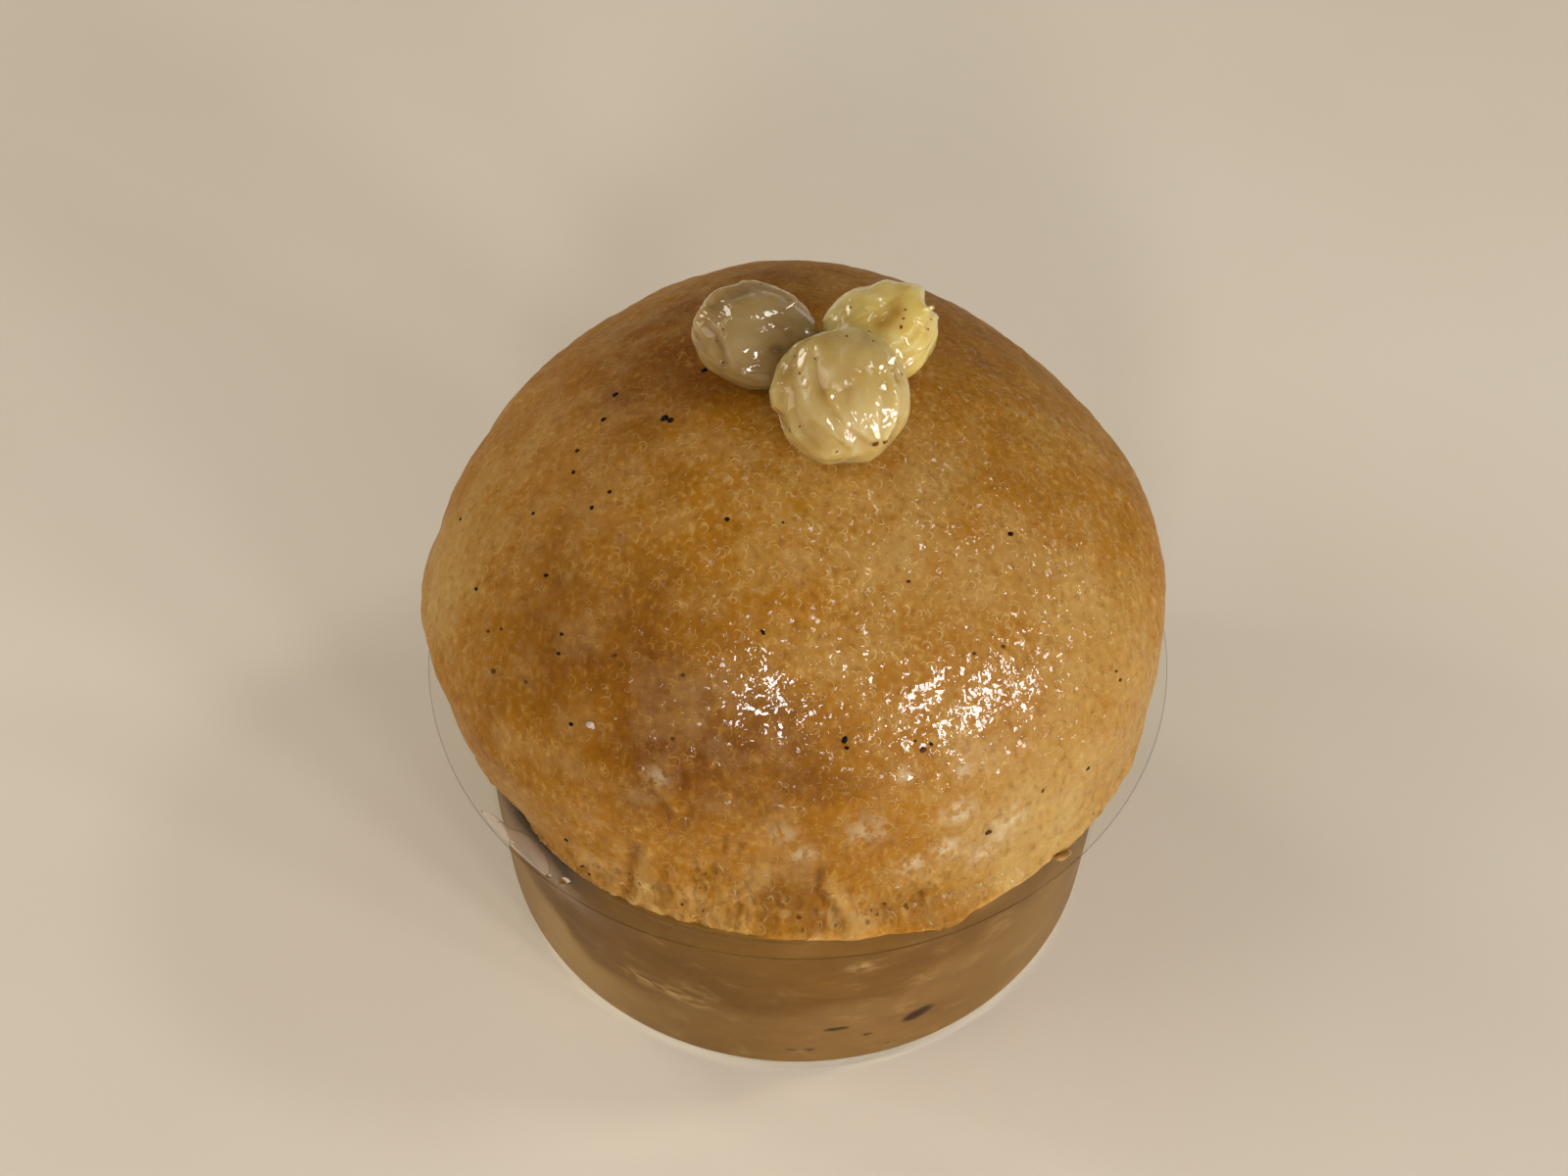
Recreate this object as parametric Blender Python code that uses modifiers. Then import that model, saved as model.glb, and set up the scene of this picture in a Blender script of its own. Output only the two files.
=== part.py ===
"""Rum baba with three golden raisins on its top, standing in its own clear cup.

Metres, +Z up. The origin is on the table under the middle of the cup, and the
front faces -Y. Sizes below are in millimetres and become metres as the points
are written.
"""
import math

import bmesh
import bpy
import numpy as np
from mathutils import Euler, Vector, noise
from mathutils.bvhtree import BVHTree

MM = 0.001

# The cup: a thin clear sheet with a tapered wall and a flared collar.
RIM_RADIUS = 42.5
RIM_HEIGHT = 35.5
WALL_TOP_RADIUS = 38.0
WALL_TOP_HEIGHT = 32.1
BASE_RADIUS = 36.2
SHEET = 0.5
COLLAR_ROUND = 3.2
FOOT_ROUND = 1.4
CUP_STEPS = 64

# The baba: a domed head over a body that fills the cup.
TOP_HEIGHT = 79.7
HEAD_RADIUS = 39.4
WIDE_HEIGHT = 50.15
HEAD_FALL = 33.4
TOP_ROUNDNESS = 1.754
SIDE_ROUNDNESS = 3.419
EDGE_HEIGHT = 33.3
LIP = 0.75
UNDERCUT = 0.9
FLOOR_GAP = 0.35
CLEARANCE = 0.35
UPPER_SET_BACK = 0.95
WET_HEIGHT = 12.8
BOTTOM_ROUND = 2.6
BABA_STEPS = 96
LEDGE = 0.9
SKIRT_RISE = 1.6
SLOT = 1.5

# Soft swellings and hollows of the head: angle (0 at +X, -90 in front), height
# and lift. Each spreads over SWELL_ANGLE degrees and SWELL_HEIGHT millimetres.
SWELL_ANGLE = 20.0
SWELL_HEIGHT = 8.0
SWELLINGS = [
    (195, 44, -0.3),
    (185, 53, -0.1),
    (168, 60, -0.1),
    (148, 66, 0.2),
    (125, 70, -0.3),
    (100, 72, 0.5),
    (75, 71, 0.2),
    (50, 68, 0.1),
    (28, 63, -0.4),
    (10, 56, 0.4),
    (-5, 48, -0.4),
    (-20, 41, 0.1),
]

# Raisins lie this far clear of what they rest on, and of one another.
RAISIN_CLEARANCE = 0.3


def remove_everything():
    for obj in list(bpy.data.objects):
        bpy.data.objects.remove(obj, do_unlink=True)


def new_material(name, colour, roughness, transmission=0.0, alpha=1.0):
    material = bpy.data.materials.new(name)
    material.use_nodes = True
    shader = material.node_tree.nodes["Principled BSDF"]
    shader.inputs["Base Color"].default_value = (*colour, 1.0)
    shader.inputs["Roughness"].default_value = roughness
    shader.inputs["Metallic"].default_value = 0.0
    shader.inputs["Transmission Weight"].default_value = transmission
    shader.inputs["Alpha"].default_value = alpha
    return material


def turned_object(name, profile, steps, collection):
    """Turn a profile at +X, given top to bottom in millimetres, about Z."""
    mesh = bpy.data.meshes.new(name)
    points = [(radius * MM, 0.0, height * MM) for radius, height in profile]
    mesh.from_pydata(points, [(i, i + 1) for i in range(len(points) - 1)], [])
    obj = bpy.data.objects.new(name, mesh)
    collection.objects.link(obj)
    turn = obj.modifiers.new("Turn", "SCREW")
    turn.axis = "Z"
    turn.angle = 2.0 * math.pi
    turn.steps = steps
    turn.render_steps = steps
    turn.use_merge_vertices = True
    turn.merge_threshold = 0.00001
    turn.use_smooth_shade = True
    return obj


def applied(obj):
    """Swap an object's mesh for the one that its modifiers make."""
    bpy.context.view_layer.update()
    shape = obj.evaluated_get(bpy.context.evaluated_depsgraph_get())
    made = bpy.data.meshes.new_from_object(shape)
    made.name = obj.name
    obj.modifiers.clear()
    obj.data = made
    return made


def rounded(corners, steps=5):
    """Polyline through (radius, height, round) corners, each with its arc."""
    points = []
    for i, (radius, height, round_radius) in enumerate(corners):
        corner = np.array([radius, height])
        if round_radius == 0.0:
            points.append(corner)
            continue
        back = np.array(corners[i - 1][:2]) - corner
        ahead = np.array(corners[i + 1][:2]) - corner
        back /= np.hypot(*back)
        ahead /= np.hypot(*ahead)
        half = 0.5 * math.acos(float(np.clip(back @ ahead, -1.0, 1.0)))
        middle = (back + ahead) / np.hypot(*(back + ahead))
        centre = corner + middle * round_radius / math.sin(half)
        spread = 0.5 * math.pi - half
        side = back - middle * (back @ middle)
        side /= np.hypot(*side)
        for k in range(steps + 1):
            turn = spread * (1.0 - 2.0 * k / steps)
            points.append(centre - round_radius * (middle * math.cos(turn) - side * math.sin(turn)))
    return [(float(p[0]), float(p[1])) for p in points]


CUP_OUTSIDE = rounded([
    (RIM_RADIUS, RIM_HEIGHT, 0.0),
    (WALL_TOP_RADIUS, WALL_TOP_HEIGHT, COLLAR_ROUND),
    (BASE_RADIUS, 0.0, FOOT_ROUND),
    (0.0, 0.0, 0.0),
])


def cup_inside(height):
    """Radius of the cup's inner face at a height, above the foot's round."""
    wall = np.array([p for p in CUP_OUTSIDE if p[1] > 0.9 * FOOT_ROUND])[::-1]
    step = 0.2
    outside = np.interp(height, wall[:, 1], wall[:, 0])
    rise = np.interp(height + step, wall[:, 1], wall[:, 0])
    fall = np.interp(height - step, wall[:, 1], wall[:, 0])
    return outside - SHEET * np.hypot(1.0, (rise - fall) / (2.0 * step))


def bell(value, middle, width):
    return np.exp(-((value - middle) / width) ** 2)


def around(angle, middle_deg, width_deg):
    """Bell over an angle round the baba, 0 degrees at +X and -90 in front."""
    turn = np.degrees(angle) - middle_deg
    return bell((turn + 180.0) % 360.0 - 180.0, 0.0, width_deg)


def swell(points, grain, offset):
    """Soft uneven field in about -0.5 to 0.5, with lumps of the grain's size."""
    return np.array([noise.noise(Vector(p) / grain + Vector((offset, 0.0, 0.0))) for p in points])


def edge_height(angle):
    """Height of the torn edge where the crust meets the collar."""
    sweep = EDGE_HEIGHT + 0.7 * np.cos(angle + math.radians(30.0))
    sag = -1.0 * around(angle, -112.0, 25.0)
    peak = 1.5 * around(angle, -67.0, 7.5)
    teeth = 0.22 * np.sin(19.0 * angle + 1.0) * np.cos(7.0 * angle)
    return sweep + sag + peak + teeth


def lobes(angle, height):
    """How the head's outline departs from a circle, as a factor of its radius."""
    low = np.clip((WIDE_HEIGHT - height) / HEAD_FALL, 0.0, 1.0)
    low = low * low * (3.0 - 2.0 * low)
    oval = 0.027 * np.cos(2.0 * (angle - math.radians(10.9)))
    three = 0.035 * np.cos(3.0 * (angle + math.radians(27.3)))
    low_oval = 0.073 * np.cos(2.0 * (angle + math.radians(73.9)))
    low_three = 0.020 * np.cos(3.0 * (angle - math.radians(38.0)))
    return 1.0 + oval + three + low * (low_oval + low_three)


def baba_profile():
    """Half section of the baba, from its top down its side to the floor."""
    profile = [(0.0, TOP_HEIGHT)]
    rise = TOP_HEIGHT - WIDE_HEIGHT
    for degrees in (7, 13, 19, 26, 33, 40, 47, 54, 61, 68, 75, 81, 86, 90):
        s = math.radians(degrees)
        out = math.sin(s) ** (2.0 / TOP_ROUNDNESS)
        up = max(math.cos(s), 0.0) ** (2.0 / TOP_ROUNDNESS)
        profile.append((HEAD_RADIUS * out, WIDE_HEIGHT + rise * up))
    for height in (46.5, 43.2, 40.2, 37.8, 35.8, EDGE_HEIGHT + LIP, EDGE_HEIGHT):
        down = ((WIDE_HEIGHT - height) / HEAD_FALL) ** (SIDE_ROUNDNESS / 2.0)
        out = (1.0 - down * down) ** (1.0 / SIDE_ROUNDNESS)
        profile.append((HEAD_RADIUS * out, height))
    for height in (32.6, 31.0, 27.5, 23.0, 18.0, WET_HEIGHT + 1.2, WET_HEIGHT, 8.5):
        profile.append((float(cup_inside(height)), height))
    foot = SHEET + FLOOR_GAP
    side = float(cup_inside(foot + BOTTOM_ROUND)) - CLEARANCE
    for degrees in (0, 30, 60, 90):
        s = math.radians(degrees)
        out = side - BOTTOM_ROUND * (1.0 - math.cos(s))
        profile.append((out, foot + BOTTOM_ROUND * (1.0 - math.sin(s))))
    profile += [(26.0, foot), (14.0, foot), (0.0, foot)]
    return profile


def shape_baba(points):
    """Turn the round blank into the uneven baba; points in millimetres."""
    x, y, z = points.T
    angle = np.arctan2(y, x)
    radius = np.hypot(x, y)
    head = z >= EDGE_HEIGHT - 0.01
    wall = (z < EDGE_HEIGHT - 0.01) & (z > SHEET + FLOOR_GAP + BOTTOM_ROUND + 0.01)

    # The torn edge climbs and falls round the collar, and its neighbours go with it.
    reach = np.where(z > EDGE_HEIGHT, 5.0, 3.0)
    height = z + (edge_height(angle) - EDGE_HEIGHT) * bell(z, EDGE_HEIGHT, reach) * (z < WIDE_HEIGHT)

    # The head leans a little to the left and towards the front as it rises.
    above = z - WIDE_HEIGHT
    lean_x = np.where(head, -0.2 - 0.046 * above, 0.0)
    lean_y = np.where(head, -0.3 - 0.027 * above, 0.0)
    side = np.where(head, radius * lobes(angle, z), radius)

    # Relief of the head: the named swellings, a ledge on the left at the widest
    # line, and a soft unevenness all over.
    start = np.stack([side * np.cos(angle), side * np.sin(angle), height], 1)
    unit = start - np.array([0.0, 0.0, 38.0])
    unit /= np.linalg.norm(unit, axis=1)[:, None]
    lift = 0.4 * swell(start, 6.5, 9.0)
    for degrees, middle, rise in SWELLINGS:
        lift += rise * around(angle, degrees, SWELL_ANGLE) * bell(z, middle, SWELL_HEIGHT)
    lift += LEDGE * around(angle, 187.0, 14.0) * bell(z, 50.0, 3.0)
    # A torn seam runs up from the edge in front, with a raised flap beside it.
    near_edge = np.clip((z - EDGE_HEIGHT + 0.5) / 1.0, 0.0, 1.0) * np.clip((42.0 - z) / 5.0, 0.0, 1.0)
    lift -= 0.9 * around(angle, -84.4, 2.2) * near_edge
    lift += 0.45 * around(angle, -79.5, 3.0) * near_edge
    lift -= 0.6 * around(angle, -120.0, 2.6) * near_edge
    lift = np.where(head, lift, 0.0)
    shaped = start + unit * lift[:, None]
    shaped[:, 0] += lean_x
    shaped[:, 1] += lean_y

    # The foot of the head spreads onto the collar, and the cup limits it and the
    # body. A slot stays open between them at the left of the front.
    angle = np.arctan2(shaped[:, 1], shaped[:, 0])
    out = np.hypot(shaped[:, 0], shaped[:, 1])
    slot = SLOT * around(angle, -143.0, 14.0) * bell(z, 32.0, 10.0)
    out = np.where(head, out - slot, out)
    steep = (cup_inside(height + 0.2) - cup_inside(height - 0.2)) / 0.4
    limit = cup_inside(height) - CLEARANCE * np.hypot(1.0, steep) - slot
    set_back = UPPER_SET_BACK * np.clip((z - WET_HEIGHT) / 1.2, 0.0, 1.0)
    set_back += UNDERCUT * bell(z, 32.6, 0.6)
    uneven = 0.35 * (swell(shaped, 9.0, 21.0) + 0.5) * (z > WET_HEIGHT + 0.5)
    foot = head & (height < RIM_HEIGHT + 1.5)
    spread = np.exp(-np.clip(height - edge_height(angle), 0.0, 9.0) / SKIRT_RISE)
    rim_limit = np.minimum(limit, RIM_RADIUS - SHEET - CLEARANCE - slot)
    out = np.where(foot, out + np.maximum(rim_limit - out, 0.0) * spread, out)
    out = np.where(head & (height < RIM_HEIGHT + 0.5), np.minimum(out, limit), out)
    out = np.where(wall, limit - set_back - uneven, out)
    return np.stack([out * np.cos(angle), out * np.sin(angle), shaped[:, 2]], 1)


def move_vertices(mesh, rule):
    points = np.empty(3 * len(mesh.vertices))
    mesh.vertices.foreach_get("co", points)
    points = rule(points.reshape(-1, 3) / MM) * MM
    mesh.vertices.foreach_set("co", points.ravel())
    mesh.update()


def tree_of(mesh):
    """Search tree over a mesh, for the distance to its surface."""
    shape = bmesh.new()
    shape.from_mesh(mesh)
    tree = BVHTree.FromBMesh(shape)
    shape.free()
    return tree


# Each raisin: middle, half length, half width, half thickness and turn (degrees),
# folds along it with their depth, how lumpy it is, and where its noise starts.
RAISINS = {
    "raisin_left": dict(
        middle=(-4.5, 2.0, 83.3), halves=(6.8, 5.6, 4.9), turn=(4.0, 8.0, -16.0),
        folds=3, depth=0.07, lumps=0.10, start=1.3),
    "raisin_right": dict(
        middle=(8.2, 3.1, 82.8), halves=(6.5, 5.2, 4.8), turn=(-4.0, -4.0, 38.0),
        folds=5, depth=0.06, lumps=0.22, start=4.1),
    "raisin_front": dict(
        middle=(4.0, -6.4, 83.4), halves=(7.1, 6.7, 5.2), turn=(-4.0, -40.0, 94.0),
        folds=6, depth=0.08, lumps=0.12, start=7.7),
}


def raisin_vertex(unit, spec):
    """Point of a raisin for a unit direction, whose X runs along the raisin."""
    angle = math.atan2(unit.z, unit.y)
    waist = math.sqrt(max(0.0, 1.0 - unit.x * unit.x))
    crease = math.sin(0.5 * spec["folds"] * angle + spec["start"] + 0.9 * unit.x)
    grow = 1.0 - spec["depth"] * (1.0 - abs(crease)) ** 2 * waist
    grow += spec["lumps"] * noise.noise(unit * 1.7 + Vector((spec["start"], 0.0, 0.0)))
    grow -= 0.10 * math.exp(-((1.0 - abs(unit.x)) / 0.06))
    halves = spec["halves"]
    local = Vector((unit.x * halves[0], unit.y * halves[1], unit.z * halves[2])) * grow
    turn = Euler([math.radians(a) for a in spec["turn"]], "XYZ")
    local.rotate(turn)
    return local + Vector(spec["middle"])


def press_apart(point, name):
    """Hold a raisin's point on its own side of the plane to each neighbour."""
    spec = RAISINS[name]
    for other, neighbour in RAISINS.items():
        if other == name:
            continue
        here, there = Vector(spec["middle"]), Vector(neighbour["middle"])
        way = (there - here).normalized()
        share = sum(spec["halves"][:2]) / (sum(spec["halves"][:2]) + sum(neighbour["halves"][:2]))
        plane = (there - here).length * share - 0.5 * RAISIN_CLEARANCE
        past = (point - here).dot(way) - plane
        if past > 0.0:
            point = point - way * past
    return point


def make_raisin(name, crust, collection):
    shape = bmesh.new()
    bmesh.ops.create_uvsphere(shape, u_segments=26, v_segments=15, radius=1.0)
    for vertex in shape.verts:
        unit = Vector((vertex.co.z, vertex.co.x, vertex.co.y))
        point = press_apart(raisin_vertex(unit, RAISINS[name]), name)
        hit = crust.ray_cast(Vector((point.x, point.y, 120.0)) * MM, Vector((0.0, 0.0, -1.0)))
        floor = hit[0].z / MM + RAISIN_CLEARANCE / max(0.5, hit[1].z)
        point.z = max(point.z, floor)
        vertex.co = point * MM
    mesh = bpy.data.meshes.new(name)
    shape.to_mesh(mesh)
    shape.free()
    mesh.shade_smooth()
    obj = bpy.data.objects.new(name, mesh)
    collection.objects.link(obj)
    return obj


def main():
    remove_everything()
    collection = bpy.data.collections.new("rum_baba")
    bpy.context.scene.collection.children.link(collection)

    cup = turned_object("cup", CUP_OUTSIDE, CUP_STEPS, collection)
    sheet = cup.modifiers.new("Sheet", "SOLIDIFY")
    sheet.thickness = SHEET * MM
    sheet.offset = -1.0
    sheet.use_even_offset = True
    cup.data.materials.append(new_material("clear_sheet", (0.92, 0.93, 0.94), 0.06, 1.0, 0.3))

    baba = turned_object("baba", baba_profile(), BABA_STEPS, collection)
    crumb = applied(baba)
    move_vertices(crumb, shape_baba)
    crumb.shade_smooth()
    crumb.materials.append(new_material("soaked_crust", (0.50, 0.27, 0.07), 0.35))

    crust = tree_of(crumb)
    skins = {
        "raisin_left": (0.52, 0.47, 0.33),
        "raisin_right": (0.66, 0.50, 0.16),
        "raisin_front": (0.70, 0.55, 0.27),
    }
    for name, colour in skins.items():
        raisin = make_raisin(name, crust, collection)
        raisin.data.materials.append(new_material(name + "_skin", colour, 0.22))


main()
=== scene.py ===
"""Looks of a rum baba: wet crust, soaked body seen through its clear cup, and raisins.

Shapes are worked out in millimetres and turned to metres as each mesh is made. Angles
run round the cake in degrees, 0 at the right (+X) and -90 in front (-Y).
"""
import math

import bpy
import numpy as np
from mathutils import Euler, Matrix, Vector
from mathutils.bvhtree import BVHTree


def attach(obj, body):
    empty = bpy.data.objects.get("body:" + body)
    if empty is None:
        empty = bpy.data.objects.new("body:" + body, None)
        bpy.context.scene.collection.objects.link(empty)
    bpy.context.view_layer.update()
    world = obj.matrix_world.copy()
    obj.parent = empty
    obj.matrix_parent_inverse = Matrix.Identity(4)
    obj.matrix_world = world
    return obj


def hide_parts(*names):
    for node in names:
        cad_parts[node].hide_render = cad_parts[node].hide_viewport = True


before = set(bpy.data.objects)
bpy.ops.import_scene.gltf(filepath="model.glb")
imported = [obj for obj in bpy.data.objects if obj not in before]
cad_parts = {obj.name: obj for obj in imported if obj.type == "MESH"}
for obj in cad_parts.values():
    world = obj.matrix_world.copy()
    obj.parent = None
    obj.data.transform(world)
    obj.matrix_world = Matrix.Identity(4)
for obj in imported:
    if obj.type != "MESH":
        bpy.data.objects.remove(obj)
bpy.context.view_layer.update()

MM = 0.001
# Blender's noise texture has lumps about this many units across.
NOISE_LUMP = 0.6

# The camera of the photograph: where it stands, how it looks down, and its lens.
CAMERA_PLACE = (-1.615, -185.64, 272.94)
CAMERA_PITCH = 50.80
CAMERA_ROLL = 0.19
LENS_MM = 60.0
SENSOR_MM = 36.0
PHOTO_WIDTH, PHOTO_HEIGHT = 1600, 1200

# The cup, as built.
RIM_RADIUS = 42.40
RIM_HEIGHT = 35.5
WALL_TOP_RADIUS = 38.0
WALL_TOP_HEIGHT = 32.1
BASE_RADIUS = 36.2
SHEET = 0.5
LIP = 0.16
COLLAR_ROUND = 3.2
FOOT_ROUND = 1.4

# The baba, as built: its head's section, and the slot where it stands back from the cup.
TOP_HEIGHT = 79.7
HEAD_RADIUS = 39.4
WIDE_HEIGHT = 50.15
HEAD_FALL = 33.4
TOP_ROUNDNESS = 1.754
SIDE_ROUNDNESS = 3.419
EDGE_HEIGHT = 33.3
LEDGE = 0.9
SKIRT_RISE = 1.6
SLOT = 1.5
SLOT_ANGLE = -142.0
SLOT_WIDTH = 8.5
SLOT_HEIGHT = 31.0
SLOT_REACH = 7.0
BEND_TOP = 33.25
BOTTOM_ROUND = 2.0
FLOOR_LEVEL = 0.45
DOME_STEPS = 181
# How high the cake touches the cup, all round (degrees, mm), and the gap above that line.
WET_LINE = [(-180, 14.5), (-150, 15.5), (-141, 14.4), (-131, 10.0), (-120, 10.5), (-109, 13.5),
            (-97, 13.2), (-85, 15.6), (-73, 15.2), (-63, 18.8), (-50, 20.2), (-36, 19.3),
            (0, 15.0), (60, 13.5), (120, 16.0), (180, 14.5)]
UPPER_GAP = 0.16
# How far the head's widest line is moved (mm) and how it leans (mm a mm), to -X and -Y.
HEAD_SHIFT = (0.2, 0.3)
HEAD_LEAN = (0.046, 0.027)
# The head's large swellings: angle (degrees), height and rise (mm), and their reach.
SWELL_ANGLE = 20.0
SWELL_HEIGHT = 8.0
SWELLINGS = [
    (195, 44, -0.3),
    (185, 53, -0.1),
    (168, 60, -0.1),
    (148, 66, 0.2),
    (125, 70, -0.3),
    (100, 72, 0.5),
    (75, 71, 0.2),
    (50, 68, 0.1),
    (28, 63, -0.4),
    (10, 56, 0.4),
    (-5, 48, -0.4),
    (-20, 41, 0.1),
]
# The soaked cake presses this far into the clear sheet, so no air gap shows.
INTO_SHEET = 0.04


# ------------------------------------------------------------------ numbers
def linear(hex_colour):
    """Linear RGBA of an sRGB hex colour."""
    channels = [int(hex_colour[i:i + 2], 16) / 255.0 for i in (1, 3, 5)]
    return (*[c / 12.92 if c <= 0.04045 else ((c + 0.055) / 1.055) ** 2.4 for c in channels], 1.0)


def smooth(value, start, end):
    """Eased step: 0 before start, 1 past end, 3t^2 - 2t^3 between."""
    t = np.clip((value - start) / (end - start), 0.0, 1.0)
    return t * t * (3.0 - 2.0 * t)


def bell(value, middle, width):
    """exp of minus ((value - middle) / width) squared."""
    return np.exp(-((value - middle) / width) ** 2)


def around(angle, middle, width):
    """Bell over an angle in radians, its middle and width given in degrees."""
    turn = (np.degrees(angle) - middle + 180.0) % 360.0 - 180.0
    return bell(turn, 0.0, width)


def random_numbers(cells, seed, count):
    """For each lattice cell, count numbers from 0 to 1 mixed from its whole coordinates.
    The large odd numbers only stir the bits."""
    mixed = (cells[..., 0] * 73856093) ^ (cells[..., 1] * 19349663) ^ (cells[..., 2] * 83492791)
    mixed = (mixed ^ (seed * 40503)) & 0x7FFFFFFF
    numbers = []
    for _ in range(count + 1):
        mixed = ((mixed ^ (mixed >> 13)) * 1274126177) & 0x7FFFFFFF
        mixed = mixed ^ (mixed >> 16)
        numbers.append(mixed / 0x7FFFFFFF)
    return np.stack(numbers[1:], -1)


def noise(points, grain, seed):
    """Random field of about -1 to 1: sloping planes at the corners of a cubic lattice of
    the grain's size, blended by 6t^5 - 15t^4 + 10t^3 along each axis."""
    place = np.asarray(points, float) / grain
    cell = np.floor(place).astype(np.int64)
    part = place - cell
    blend = part ** 3 * (part * (part * 6.0 - 15.0) + 10.0)
    total = np.zeros(place.shape[:-1])
    for corner in np.ndindex(2, 2, 2):
        slope = 2.0 * random_numbers(cell + corner, seed, 3) - 1.0
        weight = np.prod(np.where(np.array(corner) > 0, blend, 1.0 - blend), axis=-1)
        total += weight * np.sum(slope * (part - corner), axis=-1)
    return 1.7 * total


def pores(points, grain, seed):
    """Distance, in grains, to the nearest of scattered centres and to the second nearest:
    one centre at a random place in every cell of a cubic lattice of the grain's size."""
    place = np.asarray(points, float) / grain
    cell = np.floor(place).astype(np.int64)
    near = np.full(place.shape[:-1], 9.0)
    second = near.copy()
    for step in np.ndindex(3, 3, 3):
        there = cell + step - 1
        centre = there + random_numbers(there, seed, 3)
        away = np.linalg.norm(place - centre, axis=-1)
        second = np.minimum(second, np.maximum(near, away))
        near = np.minimum(near, away)
    return near, second


# ------------------------------------------------------------------- meshes
def new_piece(name, points, faces, material, replaced, fields=None):
    """Mesh object at the origin from points in millimetres, in place of the CAD nodes
    replaced; fields are values at its points."""
    mesh = bpy.data.meshes.new(name)
    mesh.from_pydata((np.asarray(points) * MM).tolist(), [], faces)
    mesh.update()
    mesh.shade_smooth()
    for field, values in (fields or {}).items():
        mesh.attributes.new(field, "FLOAT", "POINT").data.foreach_set("value", values)
    mesh.materials.append(material)
    piece = bpy.data.objects.new(name, mesh)
    bpy.context.scene.collection.objects.link(piece)
    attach(piece, "root")
    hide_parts(*replaced)
    return piece


def ring_faces(rows, columns):
    """Quads between rings of points; rings run down, points run round anticlockwise."""
    row, column = np.meshgrid(np.arange(rows - 1), np.arange(columns), indexing="ij")
    here = row * columns + column
    beside = row * columns + (column + 1) % columns
    return np.stack([here, here + columns, beside + columns, beside], -1).reshape(-1, 4).tolist()


def on_circle(radius, angle, height):
    """Points at a radius, an angle and a height, each a number or an array of them."""
    across, ahead = radius * np.cos(angle), radius * np.sin(angle)
    return np.stack(np.broadcast_arrays(across, ahead, height), -1)


def ball(rows, columns):
    """Points of a ball of radius 1 in rings round Z, without its poles."""
    lean = np.linspace(0.0, math.pi, rows + 2)[1:-1, None]
    angle = np.linspace(0.0, 2.0 * math.pi, columns, endpoint=False)
    return on_circle(np.sin(lean), angle, np.cos(lean))


def closed_turn(rings):
    """Points and faces of a closed skin from its rings, an array (rows, columns, 3) that
    runs down; each end is closed by a point in its middle."""
    rows, columns = rings.shape[:2]
    points = np.concatenate([rings.reshape(-1, 3), rings[:1].mean(1), rings[-1:].mean(1)])
    faces = ring_faces(rows, columns)
    top, bottom, last = rows * columns, rows * columns + 1, (rows - 1) * columns
    faces += [[top, k, (k + 1) % columns] for k in range(columns)]
    faces += [[bottom, last + (k + 1) % columns, last + k] for k in range(columns)]
    return points, faces


# ------------------------------------------------------------- photo places
def camera_turn():
    """Rotation of a camera that looks along +Y, pitched down and rolled."""
    look = Matrix.Rotation(math.radians(90.0 - CAMERA_PITCH), 3, "X")
    return look @ Matrix.Rotation(math.radians(CAMERA_ROLL), 3, "Z")


def seen_at(tree, across, down):
    """Place (millimetres) and normal where a photo pixel's sight line meets a tree of faces."""
    focal = LENS_MM / SENSOR_MM * PHOTO_WIDTH
    sight = Vector((across - PHOTO_WIDTH / 2, PHOTO_HEIGHT / 2 - down, -focal))
    sight = (camera_turn() @ sight).normalized()
    hit = tree.ray_cast(Vector(CAMERA_PLACE) * MM, sight)
    return np.array(hit[0]) / MM, np.array(hit[1])


def photo_pixels(points):
    """Photo pixel at which the camera sees each place, given in millimetres."""
    seen = (np.asarray(points) - CAMERA_PLACE) @ np.array(camera_turn())
    focal = LENS_MM / SENSOR_MM * PHOTO_WIDTH
    across = PHOTO_WIDTH / 2 - focal * seen[..., 0] / seen[..., 2]
    down = PHOTO_HEIGHT / 2 + focal * seen[..., 1] / seen[..., 2]
    return np.stack([across, down], -1)


def folds_at(pixels, folds, sharp=0.0):
    """Height of folds drawn over the photo: each falls off across a line of straight
    stretches, as a bell or, as sharp nears 1, as a crease, its rise in millimetres and its
    width and line in photo pixels."""
    lift = np.zeros(pixels.shape[:-1])
    for rise, width, line in folds:
        away = np.full(lift.shape, np.inf)
        for start, end in zip(line[:-1], line[1:]):
            start, way = np.array(start, float), np.subtract(end, start).astype(float)
            along = np.clip((pixels - start) @ way / (way @ way), 0.0, 1.0)
            away = np.minimum(away, np.linalg.norm(pixels - start - along[..., None] * way, axis=-1))
        crease = np.exp(-1.3 * away / width)
        lift += rise * (sharp * crease + (1.0 - sharp) * bell(away, 0.0, width))
    return lift


def face_tree(mesh):
    """Search tree over a mesh's faces, in metres."""
    points = [v.co for v in mesh.vertices]
    return BVHTree.FromPolygons(points, [p.vertices[:] for p in mesh.polygons])


# ---------------------------------------------------------------- materials
def add(tree, kind, inputs=None, **settings):
    """Adds a node; inputs are values or other nodes' outputs, settings its own properties."""
    node = tree.nodes.new(kind)
    for name, value in settings.items():
        setattr(node, name, value)
    for socket, value in (inputs or {}).items():
        if isinstance(value, bpy.types.NodeSocket):
            tree.links.new(value, node.inputs[socket])
        else:
            node.inputs[socket].default_value = value
    return node


def new_material(name, settings):
    """A material with its shader's settings, its node tree and output; the caller wires
    the rest."""
    material = bpy.data.materials.new(name)
    material.use_nodes = True
    tree = material.node_tree
    tree.nodes.clear()
    shader = add(tree, "ShaderNodeBsdfPrincipled", settings)
    output = add(tree, "ShaderNodeOutputMaterial", {"Surface": shader.outputs[0]})
    return material, tree, shader, output


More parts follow.
